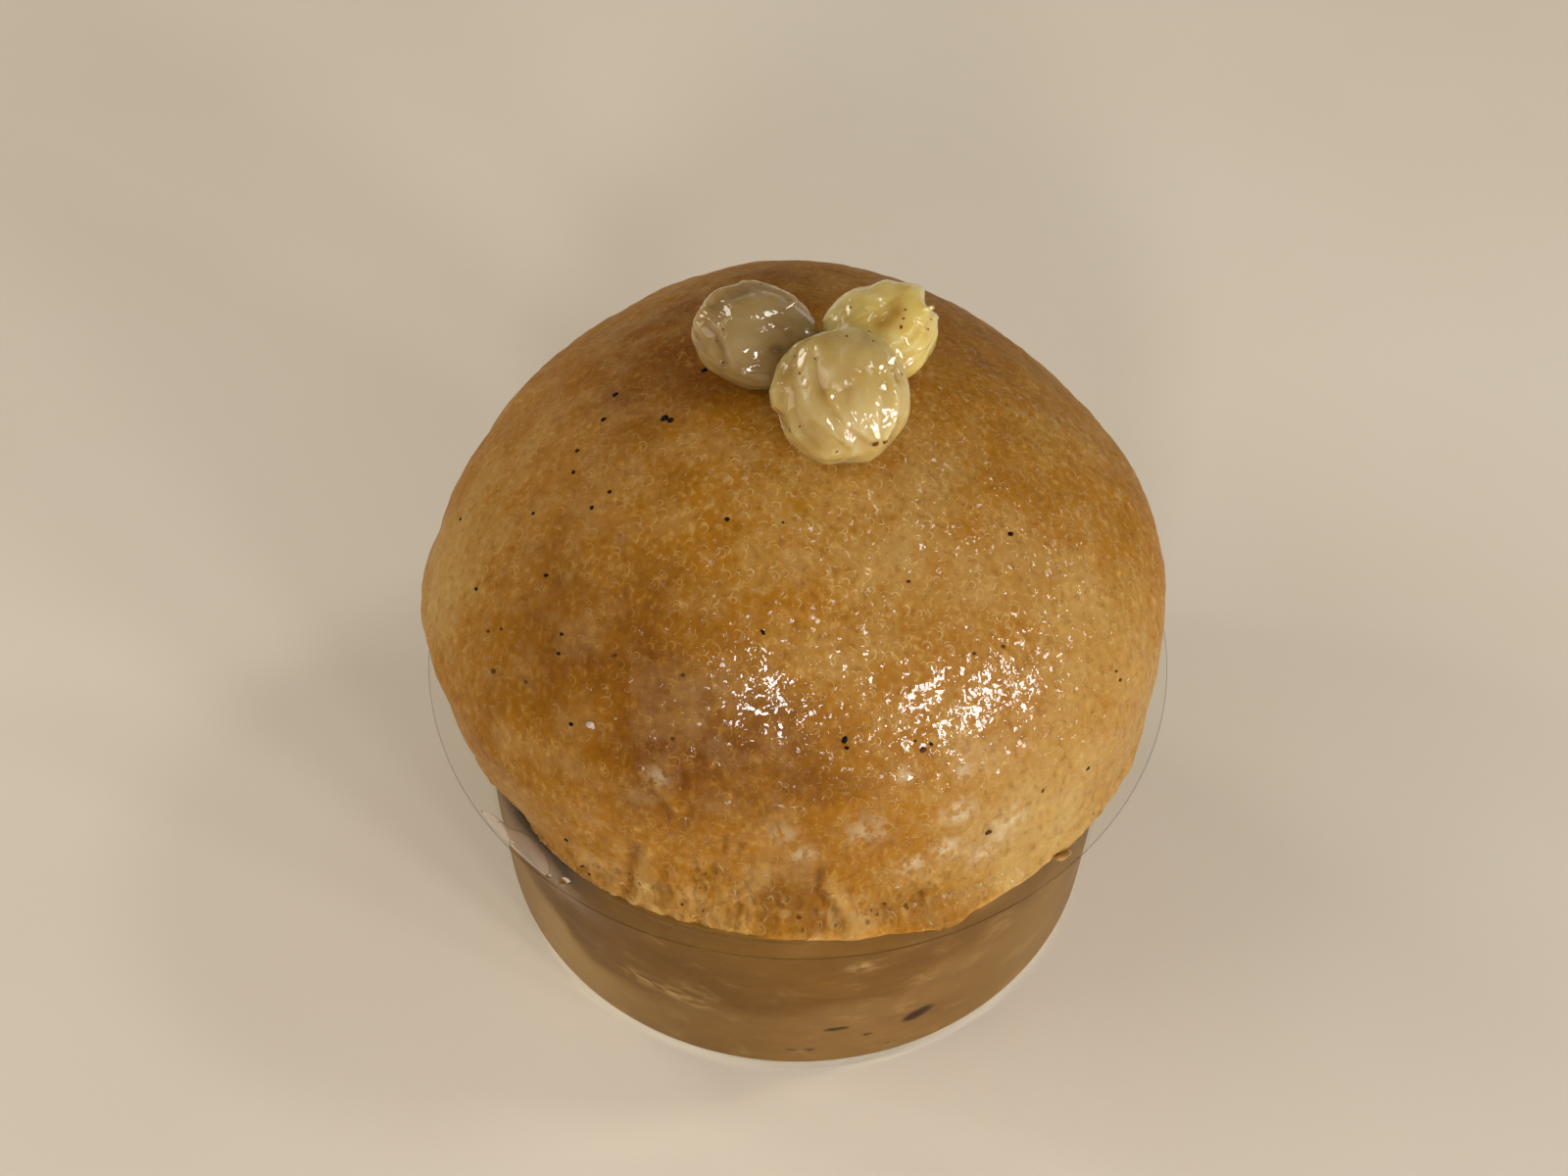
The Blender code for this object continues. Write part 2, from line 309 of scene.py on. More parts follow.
def mixed(tree, factor, low, high):
    """Colour output that goes from low to high as factor goes from 0 to 1."""
    inputs = {0: factor, 6: low, 7: high}
    return add(tree, "ShaderNodeMix", inputs, data_type="RGBA").outputs[2]


def ramp(tree, value, start, end, low=0.0, high=1.0):
    """Number output: value taken from start..end to low..high, held at both ends."""
    inputs = {0: value, 1: start, 2: end, 3: low, 4: high}
    return add(tree, "ShaderNodeMapRange", inputs).outputs[0]


def sum_of(tree, first, second, times=1.0):
    """Number output: first + second * times."""
    node = add(tree, "ShaderNodeMath", {0: second, 1: times, 2: first}, operation="MULTIPLY_ADD")
    return node.outputs[0]


def product(tree, first, second):
    """Number output: first * second."""
    node = add(tree, "ShaderNodeMath", {0: first, 1: second}, operation="MULTIPLY")
    return node.outputs[0]


def field(tree, name):
    """Number output: a value kept at the mesh's points."""
    return add(tree, "ShaderNodeAttribute", attribute_name=name).outputs["Fac"]


def grain_noise(tree, place, size_mm, detail=2.0, rough=0.5):
    """Number output: noise whose lumps are about size_mm across."""
    inputs = {"Vector": place, "Scale": NOISE_LUMP / (size_mm * MM), "Detail": detail,
              "Roughness": rough}
    return add(tree, "ShaderNodeTexNoise", inputs).outputs[0]


def wobbled(tree, place, size_mm, by_mm):
    """Place output: the surface's place pushed about by noise."""
    inputs = {"Vector": place, "Scale": NOISE_LUMP / (size_mm * MM)}
    stray = add(tree, "ShaderNodeTexNoise", inputs)
    centred = add(tree, "ShaderNodeVectorMath", {0: stray.outputs["Color"], 1: (0.5, 0.5, 0.5)},
                  operation="SUBTRACT")
    inputs = {0: centred.outputs[0], 1: (2.0 * by_mm * MM,) * 3, 2: place}
    return add(tree, "ShaderNodeVectorMath", inputs, operation="MULTIPLY_ADD").outputs[0]


def cells(tree, place, size_mm):
    """Outputs for random cells of about size_mm: the way from the cell's middle in metres,
    three numbers by chance as a colour, and the same three one by one."""
    cell = add(tree, "ShaderNodeTexVoronoi", {"Vector": place, "Scale": 1.0 / (size_mm * MM)})
    off = add(tree, "ShaderNodeVectorMath", {0: place, 1: cell.outputs["Position"]},
              operation="SUBTRACT").outputs[0]
    chances = cell.outputs["Color"]
    return off, chances, add(tree, "ShaderNodeSeparateColor", {0: chances}).outputs


def crescents(tree, place, size_mm, line_mm, shown):
    """Number outputs: thin crescents of line_mm kept to the lit side of round bubbles, where
    their pale colour is painted light, one to a cell of about size_mm and each of its own size,
    and the distance from the bubble's middle in metres. Shown is the share of cells that have a
    bubble."""
    off, chances, chance = cells(tree, place, size_mm)
    normal = add(tree, "ShaderNodeTexCoord").outputs["Normal"]
    rise = add(tree, "ShaderNodeVectorMath", {0: off, 1: normal},
               operation="DOT_PRODUCT").outputs["Value"]
    upward = add(tree, "ShaderNodeVectorMath", {0: normal, "Scale": rise},
                 operation="SCALE").outputs[0]
    flat = add(tree, "ShaderNodeVectorMath", {0: off, 1: upward},
               operation="SUBTRACT").outputs[0]
    away = add(tree, "ShaderNodeVectorMath", {0: flat}, operation="LENGTH").outputs["Value"]
    wide = ramp(tree, chance[0], 0.0, 1.0, 0.20 * size_mm * MM, 0.46 * size_mm * MM)
    miss = add(tree, "ShaderNodeMath", {0: away, 1: wide}, operation="SUBTRACT").outputs[0]
    miss = add(tree, "ShaderNodeMath", {0: miss}, operation="ABSOLUTE").outputs[0]
    ring = ramp(tree, miss, 0.3 * line_mm * MM, 0.7 * line_mm * MM, 1.0, 0.0)
    there = ramp(tree, chance[1], 1.0 - shown, 1.0)
    stray = add(tree, "ShaderNodeVectorMath", {0: chances, 1: (0.0, 0.6, 0.3)},
                operation="SUBTRACT").outputs[0]
    lit_side = add(tree, "ShaderNodeVectorMath", {0: flat, 1: stray},
                   operation="DOT_PRODUCT").outputs["Value"]
    painted_light = ramp(tree, lit_side, -0.15 * MM, 0.10 * MM)
    return product(tree, product(tree, ring, there), painted_light), away


def facets(tree, place, size_mm, tilt, shown):
    """Number outputs: height in metres of flat faces, one to a cell of about size_mm and
    each tilted its own way by up to tilt (rise over run), and 1 on the share shown of them."""
    off, chances, chance = cells(tree, place, size_mm)
    way = add(tree, "ShaderNodeVectorMath", {0: chances, 1: (2.0 * tilt,) * 3, 2: (-tilt,) * 3},
              operation="MULTIPLY_ADD").outputs[0]
    height = add(tree, "ShaderNodeVectorMath", {0: off, 1: way},
                 operation="DOT_PRODUCT").outputs["Value"]
    lot = add(tree, "ShaderNodeMath", {0: product(tree, chance[0], 7.3)}, operation="FRACT")
    inside = ramp(tree, lot.outputs[0], 1.0 - shown, 1.02 - shown)
    return product(tree, height, inside), inside


def wet_baked_crust():
    """Yeast dough baked brown and soaked with syrup: golden to brown with paler mottling and
    some painted shade and light, fine pale crescents where bubbles show, painted light on their
    lit side, pale patches of painted sheen where the wet crumb shines, and a wet film that
    breaks light into glints."""
    material, tree, shader, _ = new_material("wet_baked_crust", {
        "Roughness": 0.5,
        "IOR": 1.25,
        "Specular IOR Level": 0.3,
        "Coat Roughness": 0.03,
        "Coat IOR": 1.45,
        "Subsurface Weight": 0.3,
        "Subsurface Radius": (1.0, 0.45, 0.12),
        "Subsurface Scale": 1.2 * MM,
    })
    place = add(tree, "ShaderNodeTexCoord").outputs["Object"]
    crumb = field(tree, "crumb")
    wet = field(tree, "wet")
    net = field(tree, "net")

    upright = add(tree, "ShaderNodeVectorMath", {0: place, 1: (1.0, 1.0, 0.55)},
                  operation="MULTIPLY").outputs[0]

    # Ground colour: slow browning from the mesh, with painted shade and light mixed in, then soft
    # amber and pale mottles on it.
    amber = grain_noise(tree, place, 2.6, 3.0, 0.55)
    browner = sum_of(tree, field(tree, "brown_and_painted_shading"), sum_of(tree, -0.5, amber), 0.45)
    grain = grain_noise(tree, wobbled(tree, upright, 0.8, 0.12), 0.5, 2.0, 0.6)
    browner = sum_of(tree, browner, sum_of(tree, -0.5, grain), 0.30)
    colour = mixed(tree, ramp(tree, browner, 0.0, 0.5), linear("#BE9C5A"), linear("#A26A10"))
    colour = mixed(tree, ramp(tree, browner, 0.5, 1.0), colour, linear("#6A3804"))
    chalky = ramp(tree, grain_noise(tree, place, 3.4, 4.0, 0.65), 0.46, 0.70, 0.0, 0.35)
    colour = mixed(tree, product(tree, chalky, field(tree, "chalk")), colour, linear("#C09C64"))
    dabs = grain_noise(tree, wobbled(tree, upright, 0.6, 0.1), 0.45, 1.0, 0.5)
    gathered = ramp(tree, grain_noise(tree, place, 4.5, 2.0, 0.6), 0.36, 0.60, 0.4, 1.0)
    pale_dabs = product(tree, gathered, ramp(tree, dabs, 0.56, 0.70, 0.0, 0.38))
    deep = ramp(tree, browner, 0.45, 0.85)
    pale = mixed(tree, deep, linear("#D4AC62"), linear("#B07C26"))
    colour = mixed(tree, pale_dabs, colour, pale)
    colour = mixed(tree, ramp(tree, dabs, 0.28, 0.42, 0.40, 0.0), colour, linear("#7A4A08"))

    # Pale crescents, painted light on the lit side of overlapping bubbles, about a millimetre
    # across.
    stray = wobbled(tree, place, 0.6, 0.10)
    large, from_middle = crescents(tree, stray, 1.7, 0.15, 0.65)
    middling, _ = crescents(tree, stray, 1.35, 0.14, 0.6)
    small, _ = crescents(tree, wobbled(tree, place, 0.5, 0.08), 1.05, 0.12, 0.65)
    rims = add(tree, "ShaderNodeMath", {0: large, 1: middling}, operation="MAXIMUM").outputs[0]
    rims = add(tree, "ShaderNodeMath", {0: rims, 1: small}, operation="MAXIMUM").outputs[0]
    breaks = ramp(tree, grain_noise(tree, place, 0.8, 2.0), 0.36, 0.60, 0.1, 1.0)
    rims = product(tree, product(tree, rims, breaks), 0.85)
    pale = mixed(tree, deep, linear("#E0BE7C"), linear("#C89A4E"))
    colour = mixed(tree, product(tree, rims, net), colour, pale)

    # Torn crumb: pale upright curls, painted light on their lit side, and small dark pits and open
    # pockets, painted shade in the hollows.
    curls, holes = crescents(tree, wobbled(tree, upright, 1.2, 0.3), 1.7, 0.17, 0.7)
    pits = product(tree, ramp(tree, holes, 0.10 * MM, 0.22 * MM, 1.0, 0.0),
                   ramp(tree, grain_noise(tree, place, 3.0, 1.0), 0.5, 0.6))
    pockets = grain_noise(tree, wobbled(tree, upright, 1.5, 0.3), 1.7, 2.0, 0.55)
    # Painted shade: the open pockets are coloured darker.
    open_pocket = product(tree, ramp(tree, pockets, 0.36, 0.47, 0.5, 0.0), crumb)
    colour = mixed(tree, open_pocket, colour, linear("#84540E"))
    pocket_edge = product(tree, ramp(tree, pockets, 0.52, 0.62, 0.0, 0.4), crumb)
    colour = mixed(tree, pocket_edge, colour, linear("#CEA766"))
    torn = product(tree, curls, crumb)
    sunk = product(tree, pits, crumb)
    # Pale curls are painted light; dark pits are painted shade.
    colour = mixed(tree, product(tree, torn, 0.65), colour, linear("#D8B67C"))
    colour = mixed(tree, product(tree, sunk, 0.8), colour, linear("#5C3608"))
    # Painted sheen: pale patches where the wet crumb shines.
    painted_sheen = ramp(tree, grain_noise(tree, upright, 0.6, 2.0, 0.6), 0.40, 0.56, 0.0, 0.95)
    colour = mixed(tree, product(tree, painted_sheen, field(tree, "sheen_patch")), colour, linear("#E4D4AC"))

    # Finest relief of the skin, and of the film of syrup over it.
    height = sum_of(tree, product(tree, grain, 0.16), rims, 0.35)
    height = sum_of(tree, height, torn, 0.8)
    height = sum_of(tree, height, sunk, -1.2)
    height = sum_of(tree, height, open_pocket, -1.5)
    bump = add(tree, "ShaderNodeBump", {"Height": height, "Strength": 1.0, "Distance": 0.22 * MM})
    bubble = ramp(tree, from_middle, 0.1 * MM, 0.9 * MM, 1.0, 0.0)
    waves = grain_noise(tree, place, 1.5, 1.0, 0.5)
    pimples = ramp(tree, grain_noise(tree, place, 0.6, 1.0), 0.60, 0.74)
    ripples = grain_noise(tree, place, 0.75, 1.0, 0.5)
    pool = sum_of(tree, product(tree, bubble, 0.22), waves, 0.9)
    pool = sum_of(tree, pool, ripples, 0.6)
    pool = sum_of(tree, pool, pimples, 0.3)
    tilted, faces = facets(tree, wobbled(tree, place, 0.4, 0.06), 0.55, 0.5, 0.65)
    calm = sum_of(tree, ramp(tree, wet, 0.25, 0.9, 1.0, 0.16), field(tree, "sheen_patch"), 1.3)
    level = product(tree, pool, ramp(tree, wet, 0.25, 0.9, 0.24 * MM, 0.14 * MM))
    height = sum_of(tree, level, tilted, calm)
    film = add(tree, "ShaderNodeBump", {"Height": height, "Strength": 1.0, "Distance": 1.0})

    patchy = grain_noise(tree, place, 1.3, 2.0)
    gloss = sum_of(tree, wet, sum_of(tree, -0.5, patchy), 1.5)
    tree.links.new(colour, shader.inputs["Base Color"])
    tree.links.new(bump.outputs[0], shader.inputs["Normal"])
    wetted = product(tree, faces, ramp(tree, wet, -0.15, 0.2))
    covered = add(tree, "ShaderNodeMath", {0: ramp(tree, gloss, 0.1, 0.5), 1: wetted},
                  operation="MAXIMUM").outputs[0]
    covered = product(tree, covered, ramp(tree, wet, 0.35, 0.85, 0.36, 1.0))
    tree.links.new(covered, shader.inputs["Coat Weight"])
    tree.links.new(film.outputs[0], shader.inputs["Coat Normal"])
    return material


def syrup_soaked_crumb():
    """The baba's side, pressed and soaked: smooth wet brown, paler where it touches the
    cup, with soft wisps and painted light towards the sides where it touches; painted shade,
    dark brown, in the trapped bubbles and down the slot; a painted grey reflection of the sheet
    low in the slot, and painted light on the band under the head."""
    material, tree, shader, _ = new_material("syrup_soaked_crumb", {
        "Roughness": 0.5,
        "IOR": 1.2,
        "Specular IOR Level": 0.2,
    })
    place = add(tree, "ShaderNodeTexCoord").outputs["Object"]
    long_way = add(tree, "ShaderNodeVectorMath", {0: place, 1: (1.0, 1.0, 2.2)},
                   operation="MULTIPLY").outputs[0]
    cloudy = grain_noise(tree, long_way, 9.0, 4.0, 0.55)
    fine = grain_noise(tree, long_way, 1.3, 3.0, 0.6)
    upper = mixed(tree, ramp(tree, cloudy, 0.3, 0.7), linear("#56360B"), linear("#644312"))
    lower = mixed(tree, ramp(tree, cloudy, 0.3, 0.7), linear("#624420"), linear("#705228"))
    colour = mixed(tree, field(tree, "touching"), upper, lower)
    colour = mixed(tree, ramp(tree, fine, 0.5, 0.9, 0.0, 0.25), colour, linear("#8C6A38"))
    colour = mixed(tree, field(tree, "browner"), colour, linear("#5A3E1C"))
    # Painted light on the band just under the head, which the head shades.
    colour = mixed(tree, field(tree, "painted_light"), colour, linear("#76521F"))
    # Painted reflection: a grey sheen of the sheet, low in the slot.
    colour = mixed(tree, field(tree, "painted_reflection"), colour, linear("#8A7C74"))
    # Pale wisps, with painted light towards the sides where the cake touches the cup.
    colour = mixed(tree, field(tree, "wisp_and_painted_light"), colour, linear("#AE8E5C"))
    # Painted shade: dark brown in the trapped bubbles and down the slot.
    colour = mixed(tree, field(tree, "bubble"), colour, linear("#2C1A0C"))
    height = sum_of(tree, cloudy, fine, 0.3)
    bump = add(tree, "ShaderNodeBump", {"Height": height, "Strength": 0.5, "Distance": 0.2 * MM})
    tree.links.new(colour, shader.inputs["Base Color"])
    tree.links.new(bump.outputs[0], shader.inputs["Normal"])
    return material


def clear(name, tint, edge_tint, ior, shine, passes=1.0):
    """See-through material for thin things: light goes through hardly bent, shine says how
    much a coat mirrors the room, and lamp light passes instead of casting a solid shadow.
    A field named edge darkens the cut rim. The share passes is clear, the rest milky."""
    material, tree, shader, output = new_material(name, {
        "Transmission Weight": passes,
        "IOR": ior,
        "Roughness": 0.02,
        "Coat Weight": shine,
        "Coat Roughness": 0.02,
        "Coat IOR": 1.45,
    })
    shade = mixed(tree, field(tree, "edge"), linear(tint), linear(edge_tint))
    tree.links.new(shade, shader.inputs["Base Color"])
    passing = add(tree, "ShaderNodeBsdfTransparent", {"Color": linear(tint)}).outputs[0]
    shadow = add(tree, "ShaderNodeLightPath").outputs["Is Shadow Ray"]
    joined = add(tree, "ShaderNodeMixShader", {0: shadow, 1: shader.outputs[0], 2: passing})
    tree.links.new(joined.outputs[0], output.inputs["Surface"])
    return material


def raisin_skin(name, flesh, amber_and_painted_shade, frost):
    """Golden raisin swollen with syrup: a thin shiny skin over pale jelly, amber with painted
    shade down its folds and towards the side turned from the camera, milky with painted light
    along its raised folds, with glints on fine wrinkles."""
    material, tree, shader, _ = new_material(name, {
        "Roughness": 0.4,
        "IOR": 1.3,
        "Specular IOR Level": 0.1,
        "Coat Weight": 1.0,
        "Coat Roughness": 0.03,
        "Coat IOR": 1.5,
        "Subsurface Weight": 1.0,
        "Subsurface Radius": (1.0, 0.8, 0.4),
        "Subsurface Scale": 12.0 * MM,
    })
    place = add(tree, "ShaderNodeTexCoord").outputs["Object"]
    cloudy = grain_noise(tree, place, 3.0, 3.0, 0.6)
    colour = mixed(tree, ramp(tree, cloudy, 0.4, 0.75, 0.0, 0.5), linear(flesh), linear(frost))
    # Painted shade in the folds and on the side turned from the camera, painted light along raised
    # folds.
    colour = mixed(tree, field(tree, "amber_and_painted_shade"), colour, linear(amber_and_painted_shade))
    colour = mixed(tree, field(tree, "pale_and_painted_light"), colour, linear(frost))
    ripple = grain_noise(tree, wobbled(tree, place, 1.2, 0.4), 1.5, 1.0, 0.4)
    middle = add(tree, "ShaderNodeMath", {0: ripple, 1: 0.5}, operation="SUBTRACT").outputs[0]
    across = add(tree, "ShaderNodeMath", {0: middle}, operation="ABSOLUTE").outputs[0]
    crest = ramp(tree, across, 0.0, 0.05, 1.0, 0.0)
    height = product(tree, sum_of(tree, ripple, crest, 0.12), 0.11 * MM)
    small, _ = facets(tree, wobbled(tree, place, 0.6, 0.1), 0.8, 0.06, 0.7)
    height = sum_of(tree, small, height)
    bump = add(tree, "ShaderNodeBump", {"Height": height, "Strength": 1.0, "Distance": 1.0})
    tree.links.new(colour, shader.inputs["Base Color"])
    tree.links.new(bump.outputs[0], shader.inputs["Coat Normal"])
    return material


def plain(name, colour, roughness, level=0.3):
    """One-colour material with a faint uneven tone; level is how much it mirrors."""
    settings = {"Roughness": roughness, "Specular IOR Level": level}
    material, tree, shader, _ = new_material(name, settings)
    place = add(tree, "ShaderNodeTexCoord").outputs["Object"]
    uneven = grain_noise(tree, place, 0.6, 2.0)
    deep = tuple(0.6 * c for c in linear(colour)[:3]) + (1.0,)
    tree.links.new(mixed(tree, ramp(tree, uneven, 0.35, 0.65), deep, linear(colour)),
                   shader.inputs["Base Color"])
    return material


# ---------------------------------------------------------------------- cup
def rounded(corners, steps=12):
    """Polyline through (radius, height, round) corners, with an arc at each rounded one."""
    points = []
    for i, (radius, height, turn) in enumerate(corners):
        corner = np.array([radius, height])
        if turn == 0.0:
            points.append(corner[None])
            continue
        back = np.array(corners[i - 1][:2]) - corner
        ahead = np.array(corners[i + 1][:2]) - corner
        back, ahead = back / np.hypot(*back), ahead / np.hypot(*ahead)
        half = 0.5 * math.acos(float(np.clip(back @ ahead, -1.0, 1.0)))
        middle = (back + ahead) / np.hypot(*(back + ahead))
        side = back - middle * (back @ middle)
        side /= np.hypot(*side)
        swing = (0.5 * math.pi - half) * np.linspace(1.0, -1.0, steps + 1)[:, None]
        centre = corner + middle * turn / math.sin(half)
        points.append(centre - turn * (middle * np.cos(swing) - side * np.sin(swing)))
    return np.concatenate(points)


CUP_OUTSIDE = rounded([
    (RIM_RADIUS, RIM_HEIGHT, 0.0),
    (WALL_TOP_RADIUS, WALL_TOP_HEIGHT, COLLAR_ROUND),
    (BASE_RADIUS, 0.0, FOOT_ROUND),
    (0.0, 0.0, 0.0),
])


def cup_inside(height):
    """Radius of the cup's inner face at a height, above the foot's round."""
    wall = CUP_OUTSIDE[CUP_OUTSIDE[:, 1] > 0.9 * FOOT_ROUND][::-1]
    outside = np.interp(height, wall[:, 1], wall[:, 0])
    rise = np.interp(height + 0.2, wall[:, 1], wall[:, 0])
    fall = np.interp(height - 0.2, wall[:, 1], wall[:, 0])
    return outside - SHEET * np.hypot(1.0, (rise - fall) / 0.4)


def cup_piece(material):
    """The outer line of the half section, its copy shifted inward along the normals by the
    sheet's thickness, which thins towards the rim, and a half-round lip between them, turned
    round the middle."""
    line = CUP_OUTSIDE
    run = np.concatenate([[0.0], np.cumsum(np.hypot(*np.diff(line, axis=0).T))])
    even = np.unique(np.concatenate([run, np.arange(0.0, run[-1], 1.2)]))
    outer = np.stack([np.interp(even, run, line[:, 0]), np.interp(even, run, line[:, 1])], 1)
    way = np.gradient(outer, axis=0)
    way /= np.linalg.norm(way, axis=1)[:, None]
    inward = np.stack([way[:, 1], -way[:, 0]], 1)
    inward[-1] = (0.0, 1.0)
    thick = LIP + (SHEET - LIP) * smooth(even, 0.0, 2.5)
    inner = outer + thick[:, None] * inward
    lip_middle = 0.5 * (outer[0] + inner[0])
    turn = np.linspace(0.0, math.pi, 9)[1:-1, None]
    lip = lip_middle + 0.5 * LIP * (inward[0] * np.cos(turn) - way[0] * np.sin(turn))
    section = np.concatenate([inner[:-1][::-1], lip, outer[:-1]])
    columns = 256
    angle = np.linspace(0.0, 2.0 * math.pi, columns, endpoint=False)
    rings = on_circle(section[:, :1], angle, section[:, 1:])
    points, faces = closed_turn(rings)
    points[-2] = (0.0, 0.0, SHEET)
    points[-1] = (0.0, 0.0, 0.0)
    edge = np.zeros(len(rings))
    edge[len(inner) - 1:len(inner) - 1 + len(lip)] = 1.0
    fields = {"edge": np.append(np.repeat(edge, columns), [0.0, 0.0])}
    return new_piece("cup_sheet", points, faces, material, ["cup"], fields)


# --------------------------------------------------------------------- baba
def slot_depth(angle, height):
    """How far the cake stands back from the cup at the slot, left of the front."""
    return SLOT * around(angle, SLOT_ANGLE, SLOT_WIDTH) * bell(height, SLOT_HEIGHT, SLOT_REACH)


def edge_height(angle):
    """Height of the torn edge where the crust meets the collar, with its small teeth."""
    sweep = EDGE_HEIGHT + 0.7 * np.cos(angle + math.radians(30.0))
    sag = -1.0 * around(angle, -112.0, 25.0)
    peak = 1.5 * around(angle, -67.0, 7.5)
    teeth = 0.22 * np.sin(19.0 * angle + 1.0) * np.cos(7.0 * angle)
    ring = on_circle(WALL_TOP_RADIUS, angle, 0.0)
    ragged = 0.18 * noise(ring, 1.7, 31) + 0.20 * noise(ring, 4.0, 32)
    return sweep + sag + peak + teeth + ragged


def lobes(angle, height):
    """How the head's outline departs from a circle, as a factor of its radius."""
    low = smooth(WIDE_HEIGHT - height, 0.0, HEAD_FALL)
    oval = 0.027 * np.cos(2.0 * (angle - math.radians(10.9)))
    three = 0.035 * np.cos(3.0 * (angle + math.radians(27.3)))
    low_oval = 0.073 * np.cos(2.0 * (angle + math.radians(73.9)))
    low_three = 0.020 * np.cos(3.0 * (angle - math.radians(38.0)))
    return 1.0 + oval + three + low * (low_oval + low_three)


def head_section():
    """Half section of the head, top to edge: a superellipse arc over the widest line and a
    fuller one under it. Gives radius, height and the length run from the top."""
    lean = np.radians(np.linspace(0.0, 90.0, DOME_STEPS))
    over_radius = HEAD_RADIUS * np.sin(lean) ** (2.0 / TOP_ROUNDNESS)
    up = np.clip(np.cos(lean), 0.0, 1.0) ** (2.0 / TOP_ROUNDNESS)
    over_height = WIDE_HEIGHT + (TOP_HEIGHT - WIDE_HEIGHT) * up
    under_height = np.linspace(WIDE_HEIGHT, EDGE_HEIGHT, 91)[1:]
    down = ((WIDE_HEIGHT - under_height) / HEAD_FALL) ** (SIDE_ROUNDNESS / 2.0)
    under_radius = HEAD_RADIUS * (1.0 - down * down) ** (1.0 / SIDE_ROUNDNESS)
    radius = np.concatenate([over_radius, under_radius])
    height = np.concatenate([over_height, under_height])
    run = np.concatenate([[0.0], np.cumsum(np.hypot(np.diff(radius), np.diff(height)))])
    return radius, height, run


SECTION_RADIUS, SECTION_HEIGHT, SECTION_RUN = head_section()

# Rings of the head's square grid: how many from the top to the edge, and the way the last
# few fold in under the lip, as millimetres inward and down from the edge.
EDGE_RING = 144
UNDER_LIP = [(0.0, 0.0), (0.4, 0.25), (1.0, 0.5), (2.0, 0.8), (6.0, 1.1), (14.0, 1.1), (26.0, 1.1)]


def square_rings(count):
    """Ring number and angle of every point of a square grid wrapped into a disc: the ring
    is the larger of |i| and |j|, and the angle runs evenly along the ring's four sides."""
    i, j = np.meshgrid(np.arange(-count, count + 1), np.arange(-count, count + 1), indexing="ij")
    ring = np.maximum(np.abs(i), np.abs(j))
    with np.errstate(divide="ignore", invalid="ignore"):
        along_x = 0.25 * math.pi * j / i + math.pi * (i < 0)
        along_y = 0.5 * math.pi - 0.25 * math.pi * i / j + math.pi * (j < 0)
    angle = np.where(np.abs(i) >= np.abs(j), along_x, along_y)
    return ring.ravel(), np.where(ring > 0, angle, 0.0).ravel()


def crumb_band(angle, height, points):
    """Where the crust is torn open to the crumb: patches over the edge, widest in front."""
    top = 37.0 + 7.0 * around(angle, -104.0, 26.0) + 4.0 * around(angle, -60.0, 26.0)
    top = top + 2.5 * noise(points, 6.0, 41) + 1.2 * noise(points, 2.5, 42)
    patch = smooth(noise(points, 5.0, 43) + 0.9 * around(angle, -102.0, 22.0), -0.5, 0.7)
    return smooth(top - height, -2.5, 2.5) * patch


def head_relief(angle, height, points):
    """Lift of the head's skin in millimetres: soft lumps, open pores, and in the crumb
    band torn pits and raised flakes."""
    lift = 0.2 * noise(points, 6.5, 9)
    for degrees, middle, rise in SWELLINGS:
        lift += rise * around(angle, degrees, SWELL_ANGLE) * bell(height, middle, SWELL_HEIGHT)
    lift += LEDGE * around(angle, 187.0, 14.0) * bell(height, 50.0, 3.0)
    lift += 0.09 * noise(points, 3.0, 11) + 0.08 * noise(points, 1.6, 12)
    near, _ = pores(points, 1.7, 13)
    lift -= 0.06 * smooth(0.40 - near, 0.0, 0.25)
    band = crumb_band(angle, height, points)
    near, _ = pores(points * [1.0, 1.0, 0.7], 2.1, 14)
    lift -= band * 0.55 * smooth(0.42 - near, 0.0, 0.25)
    near, second = pores(points * [1.0, 1.0, 0.6], 1.2, 15)
    lift += band * 0.26 * smooth(0.16 - (second - near), 0.0, 0.12)
    lift += band * 0.45 * (0.35 - np.abs(noise(points * [1.0, 1.0, 0.5], 2.0, 16)))
    return lift, band


# Cracks, flaps and a dried drip drawn over the photo: rise (mm), width and line (pixels).
CRUST_FOLDS = [
    (-0.35, 5.0, [(837, 888), (831, 906), (841, 915), (848, 924), (854, 938), (847, 960)]),
    (0.35, 7.0, [(848, 896), (846, 906), (856, 918), (864, 930), (868, 942), (862, 958)]),
    (-0.35, 6.0, [(836, 936), (833, 952)]),
    (-0.35, 5.0, [(648, 866), (640, 888), (643, 902), (635, 917)]),
    (0.35, 8.0, [(662, 870), (654, 890), (658, 904), (650, 918)]),
    (0.12, 4.0, [(917, 655), (921, 690), (919, 738)]),
    (0.25, 5.0, [(668, 802), (680, 812), (690, 828)]),
    (-0.3, 4.0, [(664, 808), (674, 818), (682, 832)]),
    (-0.35, 4.0, [(738, 856), (739, 866)]),
    (-0.3, 4.0, [(753, 862), (752, 871)]),
    (-0.35, 3.5, [(786, 846), (788, 858)]),
    (-0.3, 3.0, [(794, 840), (793, 845)]),
    (-0.35, 4.0, [(696, 788), (697, 800)]),
    (-0.25, 4.0, [(708, 880), (711, 890)]),
    (-0.25, 5.0, [(1008, 846), (1010, 852)]),
]


